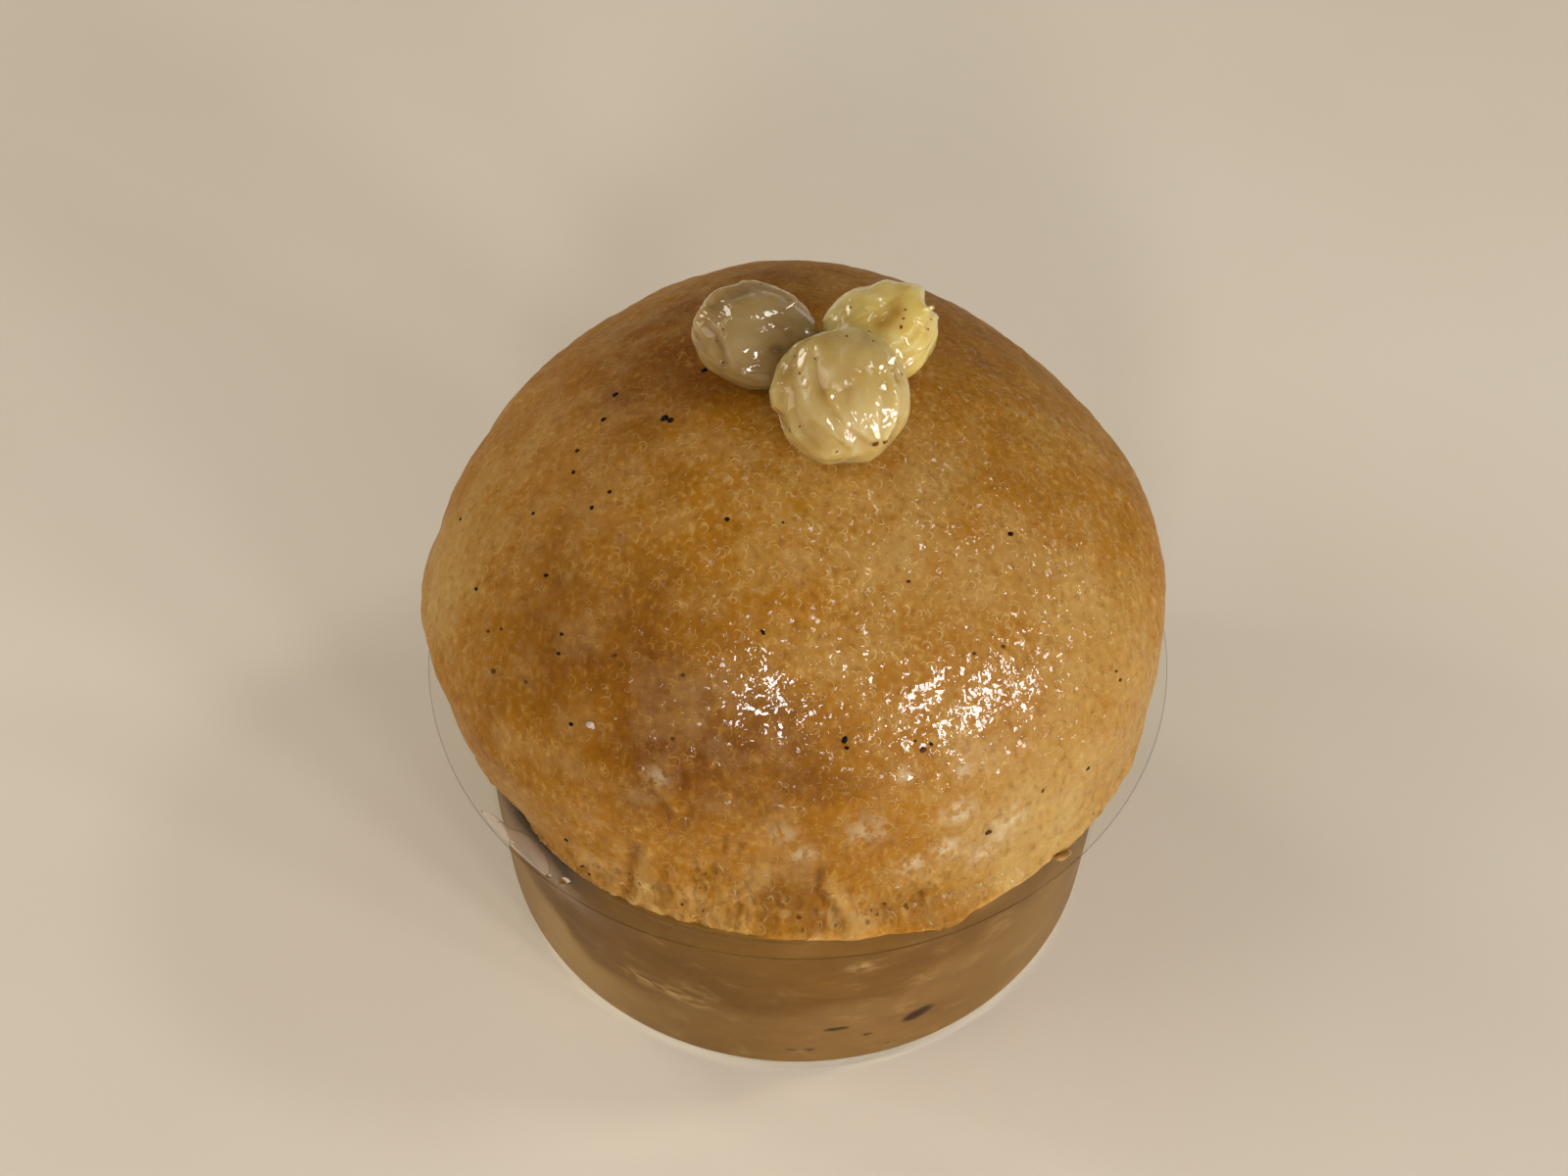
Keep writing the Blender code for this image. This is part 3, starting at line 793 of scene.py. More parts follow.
def shape_head(angle, radius, height):
    """Turns the round blank into the uneven head: the edge climbs and falls, the outline
    leaves the circle, the skin gets its relief, the whole leans, and the foot spreads
    onto the collar, which limits it."""
    edge = edge_height(angle)
    raised = height + (edge - EDGE_HEIGHT) * bell(height, EDGE_HEIGHT, 5.0)
    above = height - WIDE_HEIGHT
    side = radius * lobes(angle, height)
    start = on_circle(side, angle, raised)
    unit = start - (0.0, 0.0, 38.0)
    unit /= np.linalg.norm(unit, axis=-1)[..., None]
    lift, band = head_relief(angle, height, start)
    lean = np.stack([-HEAD_SHIFT[0] - HEAD_LEAN[0] * above,
                     -HEAD_SHIFT[1] - HEAD_LEAN[1] * above, 0.0 * above], -1)
    lift += folds_at(photo_pixels(start + lean), CRUST_FOLDS) * (start[..., 1] < 0.0)
    shaped = start + unit * lift[..., None] + lean

    angle = np.arctan2(shaped[..., 1], shaped[..., 0])
    out = np.hypot(shaped[..., 0], shaped[..., 1])
    slot = slot_depth(angle, height)
    out = out - slot
    limit = cup_inside(raised) + INTO_SHEET - slot
    rim_limit = np.minimum(limit, RIM_RADIUS - SHEET - 0.3 - slot)
    spread = np.exp(-np.clip(raised - edge_height(angle), 0.0, 9.0) / SKIRT_RISE)
    spread *= raised < RIM_HEIGHT + 1.5
    out = out + np.maximum(rim_limit - out, 0.0) * spread
    out = np.where(raised < RIM_HEIGHT + 0.5, np.minimum(out, limit), out)
    return on_circle(out, angle, shaped[..., 2]), band


# How brown the crust is, seen from the camera, its paler left edge at (460, 600) painted light:
# photo pixel, reach in millimetres, amount.
BROWN_PLACES = [
    (760, 300, 16.0, 0.30),
    (650, 350, 12.0, 0.18),
    (1010, 350, 12.0, 0.15),
    (700, 400, 9.0, 0.20),
    (520, 650, 11.0, 0.22),
    (640, 690, 12.0, 0.22),
    (720, 760, 9.0, 0.32),
    (830, 780, 10.0, 0.26),
    (800, 915, 6.0, 0.30),
    (660, 840, 7.0, 0.12),
    (900, 600, 16.0, -0.15),
    (1105, 590, 7.0, -0.10),
    (1080, 830, 14.0, -0.24),
    (1000, 860, 9.0, -0.10),
    (1130, 740, 10.0, -0.05),
    (960, 930, 9.0, 0.12),
    (460, 600, 9.0, -0.28),
    (800, 860, 8.0, -0.02),
    (880, 840, 7.0, 0.06),
]


# Patches where the wet crumb shines, painted pale as a sheen and given steeper glinting facets:
# photo pixel, reach in millimetres, amount.
SHEEN_PLACES = [
    (978, 828, 1.6, 0.7),
    (1030, 835, 1.8, 0.6),
    (1022, 852, 1.5, 0.5),
    (966, 866, 1.3, 0.8),
    (976, 868, 1.0, 0.5),
    (930, 882, 1.6, 0.5),
    (1003, 872, 1.4, 0.5),
    (925, 790, 1.1, 0.45),
    (982, 786, 0.9, 0.5),
    (820, 872, 1.2, 0.5),
    (672, 792, 1.2, 0.36),
    (800, 852, 1.6, 0.3),
    (885, 848, 2.2, 0.4),
]


# Where the pale net of bubble rims shows most: photo pixel, reach in millimetres, amount.
NET_PLACE = (880, 590, 22.0, 0.5)


# Where syrup stands on the crust in a film: photo pixel, reach in millimetres, amount.
WET_PLACES = [
    (1000, 695, 9.0, 0.9),
    (950, 712, 6.0, 0.4),
    (785, 705, 6.5, 0.9),
    (980, 560, 14.0, 0.25),
    (990, 862, 3.5, 0.4),
    (1155, 570, 9.0, -0.3),
    (1090, 400, 9.0, -0.15),
]


def spots(points, crust, places):
    """For each place, given as photo pixel, reach in millimetres and amount, how strongly
    it is felt at the points: amount times a bell of the distance."""
    felt = []
    for across, down, reach, amount in places:
        place, _ = seen_at(crust, across, down)
        felt.append(amount * bell(np.linalg.norm(points - place, axis=1), 0.0, reach))
    return felt


def head_colours(points, band, crust):
    """Values at the head's points that its material reads: how brown the crust is, with painted
    shade in its cracks and under the lip by the slot and painted light on its flaps and at some
    places, how chalky and how wet it is, where the wet crumb shines, where it is torn to the crumb
    and where bubble rims show."""
    brown_and_painted_shading = 0.46 + 0.10 * noise(points, 11.0, 51) + 0.05 * noise(points, 4.0, 52)
    brown_and_painted_shading += sum(spots(points, crust, BROWN_PLACES)) - 0.04 * band
    turn = np.arctan2(points[:, 1], points[:, 0])
    wet = -0.15 + 0.45 * around(turn, -50.0, 70.0) + 0.12 * noise(points, 8.0, 53)
    sheen_patch = np.max(spots(points, crust, SHEEN_PLACES), axis=0)
    wet += sum(spots(points, crust, WET_PLACES)) + 0.9 * sheen_patch
    net = 0.45 + spots(points, crust, [NET_PLACE])[0]
    chalk = 0.25 + 0.75 * smooth(-points[:, 0], -25.0, 15.0)
    drawn = folds_at(photo_pixels(points), CRUST_FOLDS) * (points[:, 1] < 0.0)
    # Painted shade in the drawn cracks and painted light on the raised flaps.
    brown_and_painted_shading += 0.45 * np.clip(-drawn, 0.0, 0.4) - 0.5 * np.clip(drawn, 0.0, 0.4)
    # Painted shade under the lip where the head stands back at the slot.
    brown_and_painted_shading += 0.9 * around(turn, SLOT_ANGLE, 8.5) * smooth(-points[:, 2], -34.2, -33.2)
    return {"brown_and_painted_shading": brown_and_painted_shading, "crumb": band, "wet": wet, "net": net * (1.0 - 0.7 * band),
            "chalk": chalk, "sheen_patch": sheen_patch}


def head_piece(material, crust):
    """A square grid wrapped over the dome: each ring lies at one run along the section, the
    rings closing up towards the edge, its points at even angles; the last rings fold in
    under the lip and a point closes them."""
    count = EDGE_RING + len(UNDER_LIP) - 1
    ring, angle = square_rings(count)
    share = np.clip(ring / EDGE_RING, 0.0, 1.0)
    run = share * (1.35 - 0.35 * share) * SECTION_RUN[-1]
    radius = np.interp(run, SECTION_RUN, SECTION_RADIUS)
    height = np.interp(run, SECTION_RUN, SECTION_HEIGHT)
    points, band = shape_head(angle, radius, height)
    under = np.clip(ring - EDGE_RING, 0, None)
    inward, drop = np.array(UNDER_LIP).T
    out = np.hypot(points[:, 0], points[:, 1])
    points[:, :2] *= ((out - inward[under]) / np.maximum(out, 1e-6))[:, None]
    points[:, 2] -= drop[under]

    side = 2 * count + 1
    i, j = np.meshgrid(np.arange(side - 1), np.arange(side - 1), indexing="ij")
    first = (i * side + j).ravel()
    faces = np.stack([first, first + side, first + side + 1, first + 1], -1).tolist()
    last = side - 1
    k = np.arange(last)
    border = np.concatenate([k * side, last * side + k, (last - k) * side + last, last - k])
    middle = len(points)
    faces += [[middle, border[n], border[n - 1]] for n in range(len(border))]
    points = np.concatenate([points, [[0.0, 0.0, points[border, 2].mean()]]])

    fields = head_colours(points, np.append(band, 0.0), crust)
    return new_piece("baba_head", points, faces, material, ["baba"], fields)


# Trapped bubbles against the cup, painted dark as shade: photo pixel, half length and half height
# (mm), tilt (degrees).
BUBBLES = [
    (935, 1031, 2.1, 1.0, 22.0),
    (853, 1047, 1.5, 0.45, 5.0),
    (807, 1068, 0.7, 0.26, -2.0),
    (826, 1068, 0.7, 0.26, 2.0),
    (884, 1052, 0.7, 0.30, 8.0),
    (904, 1061, 0.35, 0.30, 0.0),
]


# Pale wisps on the soaked side: photo pixel and reach (mm).
WISPS = [(644, 961, 1.2), (660, 990, 2.0), (690, 1005, 1.6), (712, 1017, 1.4), (702, 996, 1.0),
         (731, 1006, 0.6), (880, 975, 1.8)]


# More bubbles by chance on the sides and back: how many, and the heights they lie between.
BACK_BUBBLES = 26
BACK_BUBBLE_HEIGHTS = (3.0, 13.0)


def body_bubbles(crust):
    """Angle, height, half length, half height (mm) and tilt (degrees) of every bubble:
    the photo's own, and the ones that stand by chance on the sides and back."""
    bubbles = []
    for across, down, half_length, half_height, tilt in BUBBLES:
        middle, _ = seen_at(crust, across, down)
        at = math.atan2(middle[1], middle[0])
        bubbles.append((at, middle[2], half_length, half_height, tilt))
    chance = np.random.default_rng(17).uniform(0.0, 1.0, (BACK_BUBBLES, 4))
    low, high = BACK_BUBBLE_HEIGHTS
    for where, level, length, lean in chance:
        at = math.radians(-20.0 + 220.0 * where)
        at = at - 2.0 * math.pi * (at > math.pi)
        half_length = 0.3 + 1.4 * length ** 3
        bubbles.append((at, low + (high - low) * level, half_length, 0.14 + 0.16 * half_length,
                        40.0 * (lean - 0.5)))
    return bubbles


def in_a_bubble(inside, turn, height, bubbles):
    """How far each point of the wall lies in a bubble, an ellipse on the wall: 1 within
    three quarters of its size, 0 from a little beyond it."""
    hollow = np.zeros_like(height)
    for at, level, half_length, half_height, tilt in bubbles:
        sideways = inside * ((turn - at + math.pi) % (2.0 * math.pi) - math.pi)
        upward = height - level
        lean = math.radians(tilt)
        long_way = sideways * math.cos(lean) + upward * math.sin(lean)
        short_way = upward * math.cos(lean) - sideways * math.sin(lean)
        size = np.hypot(long_way / half_length, short_way / half_height)
        hollow = np.maximum(hollow, smooth(-size, -1.15, -0.75))
    return hollow


def body_colours(points, touching, crust):
    """Values at the body's points that its material reads: pale wisps with painted light
    towards the sides where the cake touches the cup, browner crumb, a painted grey reflection
    of the sheet low in the slot, and painted light on the band under the head."""
    wisp_and_painted_light = np.zeros(len(points))
    for across, down, reach in WISPS:
        away = np.linalg.norm((points - seen_at(crust, across, down)[0]) * [1.0, 1.0, 1.6], axis=1)
        wisp_and_painted_light = np.maximum(wisp_and_painted_light, bell(away, 0.0, reach))
    wisp_and_painted_light *= smooth(noise(points * [1.0, 1.0, 1.8], 1.3, 65), -0.35, 0.25)
    side = np.arctan2(points[:, 1], points[:, 0])
    blotch = smooth(noise(points * [1.0, 1.0, 1.6], 4.5, 66), 0.05, 0.8)
    blotch *= smooth(noise(points * [1.0, 1.0, 1.8], 1.1, 67), -0.5, 0.5)
    wisp_and_painted_light += 0.45 * blotch * (0.4 + 0.6 * smooth(points[:, 1], -25.0, 5.0))
    # Painted light: paler towards the sides where the cake touches the cup.
    wisp_and_painted_light += touching * (0.45 * around(side, -140.0, 18.0) + 0.1 * around(side, -36.0, 14.0))
    browner = 0.75 * around(side, -32.0, 26.0)
    # Painted reflection of the sheet, grey, low in the slot.
    painted_reflection = 0.6 * around(side, SLOT_ANGLE, 11.0) * bell(points[:, 2], 22.6, 1.9)
    # Painted light on the band just under the head.
    painted_light = smooth(points[:, 2], 31.2, 33.0) * (1.0 - around(side, SLOT_ANGLE, 10.0))
    return {"wisp_and_painted_light": wisp_and_painted_light, "browner": browner, "painted_reflection": painted_reflection, "painted_light": painted_light}


def body_piece(material, crust):
    """Rings down the cup's inner face and across its floor. Above the wet line they stand
    back from the sheet; below it they press into it. Bubbles, painted shade, and wisps are
    colour alone."""
    rows, columns = 96, 480
    angle = np.linspace(-math.pi, math.pi, columns, endpoint=False)
    share = np.linspace(0.0, 1.0, rows)[:, None]
    top = edge_height(angle)
    top = top + np.maximum(BEND_TOP - top, 0.0) * (1.0 - around(angle, SLOT_ANGLE, 9.5))
    height = top * (1.0 - share) + (FLOOR_LEVEL + BOTTOM_ROUND) * share
    turn = np.repeat(angle[None], rows, 0)
    inside = cup_inside(height)
    place = on_circle(inside, turn, height)
    line = np.interp(np.degrees(turn), *np.array(WET_LINE).T)
    line = line + 0.7 * noise(place * [1.0, 1.0, 0.0], 5.0, 61) + 0.4 * noise(place, 2.5, 62)
    back = smooth(height - line, -1.0, 1.6)
    gap = back * smooth(top - height, 0.3, 3.0) * (UPPER_GAP + 0.05 * noise(place, 6.0, 63))
    slot = slot_depth(turn, height)
    hollow = in_a_bubble(inside, turn, height, body_bubbles(crust))
    out = inside + INTO_SHEET - gap - slot
    wall = on_circle(out, turn, height)

    # The top is closed under the head, and the foot rounds in to a flat floor.
    inward = np.array([24.0, 12.0, 4.0, 1.0])[:, None]
    cap = on_circle(out[0] - inward, angle, top)
    lean = np.radians(np.linspace(0.0, 90.0, 9)[1:, None])
    level = FLOOR_LEVEL + BOTTOM_ROUND * (1.0 - np.sin(lean))
    foot = on_circle(out[-1] - BOTTOM_ROUND * (1.0 - np.cos(lean)), angle, level)
    share = np.linspace(0.94, 0.06, 16)[:, None]
    floor = on_circle((out[-1] - BOTTOM_ROUND) * share, angle, FLOOR_LEVEL)
    points, faces = closed_turn(np.concatenate([cap, wall, foot, floor]))

    before, after = len(cap) * columns, (len(foot) + len(floor)) * columns + 2
    touching = np.concatenate([np.zeros(before), (1.0 - back).ravel(), np.ones(after)])
    # Painted shade: the trapped bubbles and the upper slot are coloured dark brown in place of the
    # shade of hollows.
    shade = np.clip(2.2 * around(turn, SLOT_ANGLE, 8.5), 0.0, 1.0) * smooth(height, 24.4, 26.2)
    painted_shade = np.maximum(hollow, shade)
    bubble = np.concatenate([np.zeros(before), painted_shade.ravel(), np.zeros(after)])
    fields = {"touching": touching, "bubble": bubble, **body_colours(points, touching, crust)}
    return new_piece("baba_body", points, faces, material, ["baba"], fields)


def crust_top(x, y):
    """Height of the head's skin over a place near its top, without the fine relief."""
    height = np.full_like(x, TOP_HEIGHT)
    for _ in range(4):
        above = height - WIDE_HEIGHT
        across = x + HEAD_SHIFT[0] + HEAD_LEAN[0] * above
        ahead = y + HEAD_SHIFT[1] + HEAD_LEAN[1] * above
        angle = np.arctan2(ahead, across)
        radius = np.hypot(across, ahead) / lobes(angle, height)
        height = np.interp(radius, SECTION_RADIUS[:DOME_STEPS], SECTION_HEIGHT[:DOME_STEPS])
    return height


# Lamps: azimuth from the front (+ to the right) and elevation in degrees, distance, width
# and height in metres, power in watts, colour.
LAMPS = {
    "window_right_near": (33.0, 11.0, 0.9, 0.11, 0.20, 1.7, "#FCFCFF"),
    "window_right_mid": (46.0, 15.0, 0.9, 0.11, 0.22, 2.0, "#FCFCFF"),
    "window_right_far": (60.0, 16.0, 0.9, 0.07, 0.18, 0.9, "#FCFCFF"),
    "window_front": (-6.0, 30.0, 0.9, 0.13, 0.15, 1.7, "#FCFCFF"),
    "window_right_back": (105.0, 20.0, 0.9, 0.08, 0.14, 0.6, "#FFFCF8"),
    "window_left_small": (-101.0, 35.0, 1.0, 0.08, 0.14, 0.5, "#FFFCF8"),
    "window_back_left": (-128.0, 22.0, 1.0, 0.25, 0.25, 1.5, "#FFF8EE"),
    "high_right": (95.0, 55.0, 1.0, 0.14, 0.14, 0.9, "#FFFDF8"),
    "left_card": (-80.0, 38.0, 1.0, 0.5, 0.5, 1.8, "#FFF6EA"),
}


# ------------------------------------------------------------------ raisins
# Middle, half length, half width, half thickness (mm) and turn (degrees); lengthwise
# folds and their depth; how lumpy; how wrinkled; where the noise starts. The folds that
# the photo shows are drawn over it: rise (mm), width and line (pixels). Stains: photo
# pixel, reach (pixels) and amount. Flats, which face half way between the camera and a
# lamp, as the photo's highlights show: photo pixel, half width and half height, turn.
RAISINS = {
    "raisin_left": dict(
        middle=(-4.5, 2.0, 83.3), halves=(6.8, 5.6, 4.9), turn=(4.0, 8.0, -16.0),
        folds=3, depth=0.05, lumps=0.09, start=1.3, wrinkle=0.012, slot="raisin_grey",
        stains=[(794, 357, 6.0, 0.9), (786, 357, 4.0, 0.5), (758, 298, 14.0, 0.4),
                (713, 352, 8.0, 0.5), (770, 330, 22.0, -0.5), (752, 352, 16.0, -0.4),
                (735, 378, 8.0, 0.4), (826, 326, 9.0, 0.4)],
        flats=[(743, 318, 3.0, 6.0, 30), (781, 321, 11.0, 4.0, 15), (784, 334, 8.0, 2.5, 10),
               (762, 357, 5.0, 2.0, 20), (768, 376, 9.0, 2.5, 12), (806, 313, 4.0, 2.0, 30)],
        drawn=[
            (0.35, 5.0, [(745, 310), (762, 304), (788, 303), (798, 310), (814, 319), (828, 331)]),
            (-0.40, 5.0, [(748, 303), (764, 297), (780, 295), (796, 299), (812, 309), (826, 320)]),
            (0.30, 4.0, [(760, 288), (778, 288), (796, 294), (812, 303)]),
            (-0.55, 5.0, [(720, 334), (730, 343), (736, 356), (738, 372)]),
            (0.30, 4.0, [(726, 327), (738, 342), (744, 356), (748, 372)]),
            (0.22, 3.0, [(718, 360), (727, 368), (736, 376)]),
            (-0.20, 4.0, [(752, 372), (770, 379), (790, 384)]),
            (0.15, 3.0, [(752, 362), (764, 366), (776, 370)]),
            (0.12, 3.5, [(776, 345), (792, 341), (806, 334)]),
            (-0.15, 6.0, [(764, 334), (784, 350), (806, 352)]),
            (0.70, 6.0, [(759, 287), (768, 285)]),
            (-0.40, 9.0, [(742, 297), (726, 315)]),
            (0.40, 6.0, [(707, 348), (711, 336)]),
        ]),
    "raisin_right": dict(
        middle=(8.2, 3.1, 82.8), halves=(6.5, 5.2, 4.8), turn=(-4.0, -4.0, 38.0),
        folds=5, depth=0.05, lumps=0.20, start=4.1, wrinkle=0.016, slot="raisin_yellow",
        stains=[(900, 328, 10.0, 0.4), (862, 328, 10.0, 0.25), (916, 314, 8.0, 0.4),
                (935, 355, 14.0, -0.4), (890, 305, 9.0, -0.4)],
        flats=[(902, 307, 6.0, 3.0, -15), (866, 317, 2.5, 5.0, -10), (938, 332, 2.5, 7.0, 25),
               (927, 349, 2.5, 6.0, 30), (886, 314, 4.0, 2.0, 10), (917, 360, 2.0, 5.0, 30),
               (946, 316, 3.0, 2.0, 0)],
        drawn=[
            (-0.80, 11.0, [(896, 329), (904, 325), (914, 317)]),
            (0.45, 6.0, [(850, 320), (860, 308), (876, 303), (896, 303), (912, 305)]),
            (-0.30, 5.0, [(858, 326), (872, 318), (880, 310)]),
            (0.25, 5.0, [(882, 322), (890, 314), (900, 318)]),
            (0.35, 3.5, [(911, 342), (922, 344), (930, 336), (936, 326), (944, 319)]),
            (-0.35, 4.0, [(914, 354), (926, 350), (934, 341), (940, 330)]),
            (0.40, 3.5, [(914, 363), (925, 357), (933, 350), (938, 343)]),
            (-0.30, 4.0, [(918, 372), (930, 364), (942, 350), (946, 334)]),
            (0.30, 4.0, [(924, 374), (936, 365), (948, 347), (951, 330)]),
            (0.25, 3.0, [(940, 340), (943, 331)]),
            (0.70, 5.0, [(929, 295), (938, 299)]),
            (0.90, 5.0, [(956, 320), (963, 325)]),
            (0.40, 7.0, [(892, 289), (906, 290)]),
            (-0.50, 6.0, [(872, 296), (884, 295)]),
        ]),
    "raisin_front": dict(
        middle=(4.0, -6.4, 83.4), halves=(7.1, 6.7, 5.2), turn=(-4.0, -40.0, 94.0),
        folds=4, depth=0.04, lumps=0.08, start=7.7, wrinkle=0.012, slot="raisin_pale",
        stains=[(893, 453, 4.0, 0.9), (838, 336, 16.0, 0.4), (803, 380, 12.0, 0.6),
                (838, 400, 8.0, 0.4), (800, 425, 9.0, 0.6), (884, 425, 26.0, -0.6),
                (850, 380, 12.0, -0.4), (828, 448, 16.0, 0.3), (885, 340, 14.0, 0.3)],
        flats=[(818, 366, 3.5, 10.0, -12), (833, 355, 3.0, 3.0, 0), (821, 390, 2.5, 5.0, 0),
               (852, 394, 5.0, 3.0, -30), (864, 390, 4.0, 3.0, 30), (876, 378, 6.0, 2.0, -15),
               (901, 376, 6.0, 4.0, -10), (902, 395, 3.5, 4.0, 0), (903, 420, 5.0, 3.0, 0),
               (893, 437, 3.5, 9.0, 12), (910, 368, 2.5, 5.0, -20), (914, 402, 2.0, 8.0, 5),
               (866, 433, 3.0, 3.0, 0), (849, 405, 2.5, 4.0, 10), (896, 409, 2.5, 6.0, 0)],
        drawn=[
            (0.35, 7.0, [(819, 358), (815, 385), (822, 410), (838, 432), (856, 447), (872, 456)]),
            (-0.55, 6.0, [(831, 364), (835, 390), (843, 411), (852, 426), (866, 439), (886, 455)]),
            (0.40, 5.0, [(846, 378), (850, 402), (857, 420), (868, 433), (888, 448)]),
            (-0.25, 5.0, [(868, 396), (864, 410), (870, 426)]),
            (0.20, 4.0, [(874, 402), (873, 420), (880, 438)]),
            (-0.40, 4.0, [(809, 398), (811, 422), (818, 440), (832, 456)]),
            (-0.30, 4.0, [(826, 431), (840, 439), (852, 449), (864, 460)]),
            (0.30, 5.0, [(804, 420), (811, 441), (824, 456), (842, 465)]),
            (0.50, 3.0, [(904, 374), (911, 386), (915, 402), (915, 420), (911, 434), (903, 447)]),
            (-0.45, 4.0, [(910, 372), (918, 390), (921, 410), (919, 432), (911, 448)]),
            (0.30, 3.5, [(894, 410), (895, 428), (893, 448)]),
            (-0.25, 4.0, [(903, 390), (904, 412), (900, 434)]),
            (0.25, 3.0, [(850, 396), (857, 390), (869, 388)]),
            (-0.20, 3.0, [(846, 400), (858, 399), (868, 394)]),
            (0.18, 2.5, [(872, 370), (882, 375), (884, 381)]),
            (-0.22, 5.0, [(816, 344), (845, 342), (880, 345)]),
            (0.15, 4.0, [(838, 352), (852, 358), (866, 372)]),
            (-0.80, 5.0, [(793, 424), (800, 436)]),
            (0.60, 6.0, [(789, 400), (791, 413)]),
            (-0.40, 7.0, [(796, 386), (806, 362)]),
            (0.40, 7.0, [(812, 346), (824, 335)]),
            (0.40, 7.0, [(898, 337), (909, 350)]),
            (0.50, 6.0, [(922, 396), (925, 420)]),
            (-0.60, 4.0, [(911, 370), (917, 386)]),
            (-0.60, 6.0, [(908, 462), (920, 448)]),
        ]),
}
DRAWN_DEPTH = 0.5
RAISIN_GAP = 0.1
RAISIN_TOP = 89.3
PRESSED_IN = 0.2
RAISIN_ROWS = 210
RAISIN_COLUMNS = 300


def raisin_shape(unit, spec):
    """Points of a raisin for unit directions: an uneven ellipsoid with lengthwise folds,
    puckered ends and low raised wrinkles, and the folds drawn over the photo on the side
    that faces the camera. Also gives how amber a point is, from streaks, stains and painted
    shade in its folds and towards the side turned from the camera, and how pale, from streaks
    and painted light along raised folds."""
    angle = np.arctan2(unit[..., 2], unit[..., 1])
    waist = np.sqrt(np.clip(1.0 - unit[..., 0] ** 2, 0.0, 1.0))
    crease = np.abs(np.sin(0.5 * spec["folds"] * angle + spec["start"] + 0.9 * unit[..., 0]))
    turn = np.array(Euler([math.radians(a) for a in spec["turn"]], "XYZ").to_matrix())
    toward = CAMERA_PLACE - np.array(spec["middle"])
    toward = toward / np.linalg.norm(toward)
    facing = smooth((unit / spec["halves"] * spec["halves"][1]) @ turn.T @ toward, -0.35, 0.2)

    grow = 1.0 + spec["lumps"] * 0.7 * noise(unit + spec["start"], 0.6, 71)
    grow -= spec["depth"] * (1.0 - crease) ** 2 * waist * (1.0 - 0.8 * facing)
    grow -= 0.10 * np.exp(-(1.0 - np.abs(unit[..., 0])) / 0.06)
    long_way = unit * [0.35, 1.0, 1.0] + 0.25 * noise(unit + 3.0, 0.8, 72)[..., None]
    wrinkle = np.abs(noise(long_way + spec["start"], 0.45, 73))
    fine = np.abs(noise(long_way + spec["start"], 0.22, 74))
    grow += spec["wrinkle"] * ((1.0 - wrinkle) ** 10 + 0.6 * (1.0 - fine) ** 10)
    points = (unit * spec["halves"] * grow[..., None]) @ turn.T + spec["middle"]
    pixels = photo_pixels(points)
    drawn = DRAWN_DEPTH * folds_at(pixels, spec["drawn"], 0.4) * facing
    out = points - spec["middle"]
    points = points + out / np.linalg.norm(out, axis=-1)[..., None] * drawn[..., None]
    streak = noise(long_way + spec["start"], 0.2, 75)
    # Amber: streaks, painted shade in drawn folds, in folds turned from the camera and on the side
    # turned from it; then the stains.
    deep = 0.30 * smooth(-streak, 0.1, 0.9) + 0.45 * smooth(-drawn, 0.0, 0.5)
    deep += (1.0 - facing) * 0.4 * (1.0 - crease) ** 3
    deep += 0.5 * smooth(-facing, -0.95, -0.3)
    for across, down, reach, amount in spec["stains"]:
        deep += amount * bell(np.linalg.norm(pixels - (across, down), axis=-1), 0.0, reach)
    # Pale: streaks and painted light along raised drawn folds.
    high = 0.5 * smooth(streak, 0.1, 0.9) + 0.7 * smooth(drawn, 0.0, 0.5) - deep
    return points, np.clip(deep, 0.0, 1.0), np.clip(high, 0.0, 1.0)


def flattened(points, spec):
    """Moves points in and out from the raisin's middle onto small flats: each is a plane
    through the skin under its pixel, square to the line that halves the angle between the
    camera and the lamp that asks for the least tilt."""
    pixels = photo_pixels(points)
    for across, down, half_width, half_height, turn in spec["flats"]:
        a = math.radians(turn)
        off = pixels - (across, down)
        level = off[..., 0] * math.cos(a) - off[..., 1] * math.sin(a)
        upright = off[..., 0] * math.sin(a) + off[..., 1] * math.cos(a)
        eye = np.array(CAMERA_PLACE) - spec["middle"]
        eye = eye / np.linalg.norm(eye)
        out = points - spec["middle"]
        out = out / np.linalg.norm(out, axis=-1)[..., None]
        size = np.hypot(level / half_width, upright / half_height)
        nearest = np.argmin(np.where(out @ eye > 0.0, size, np.inf))
        centre = points.reshape(-1, 3)[nearest]
        facing = out.reshape(-1, 3)[nearest]
        halves = [eye + np.array(toward_lamp(*setting[:2])) for setting in LAMPS.values()]
        halves = [half / np.linalg.norm(half) for half in halves]
        square = max(halves, key=lambda half: half @ facing)
        short = (centre - points) @ square / np.maximum(out @ square, 0.4)
        part = smooth(-size, -1.5, -1.0) * (out @ eye > 0.0)
        points = points + out * np.clip(short, -0.5, 0.5)[..., None] * part[..., None]
    return points


def pressed_apart(points, name):
    """Holds a raisin's points on its own side of the plane to each neighbour."""
    spec = RAISINS[name]
    for other, neighbour in RAISINS.items():
        if other == name:
            continue
        way = np.subtract(neighbour["middle"], spec["middle"])
        apart = np.linalg.norm(way)
        way = way / apart
        mine, theirs = sum(spec["halves"][:2]), sum(neighbour["halves"][:2])
        past = (points - spec["middle"]) @ way - (apart * mine / (mine + theirs) - 0.5 * RAISIN_GAP)
        points = points - np.maximum(past, 0.0)[..., None] * way
    return points


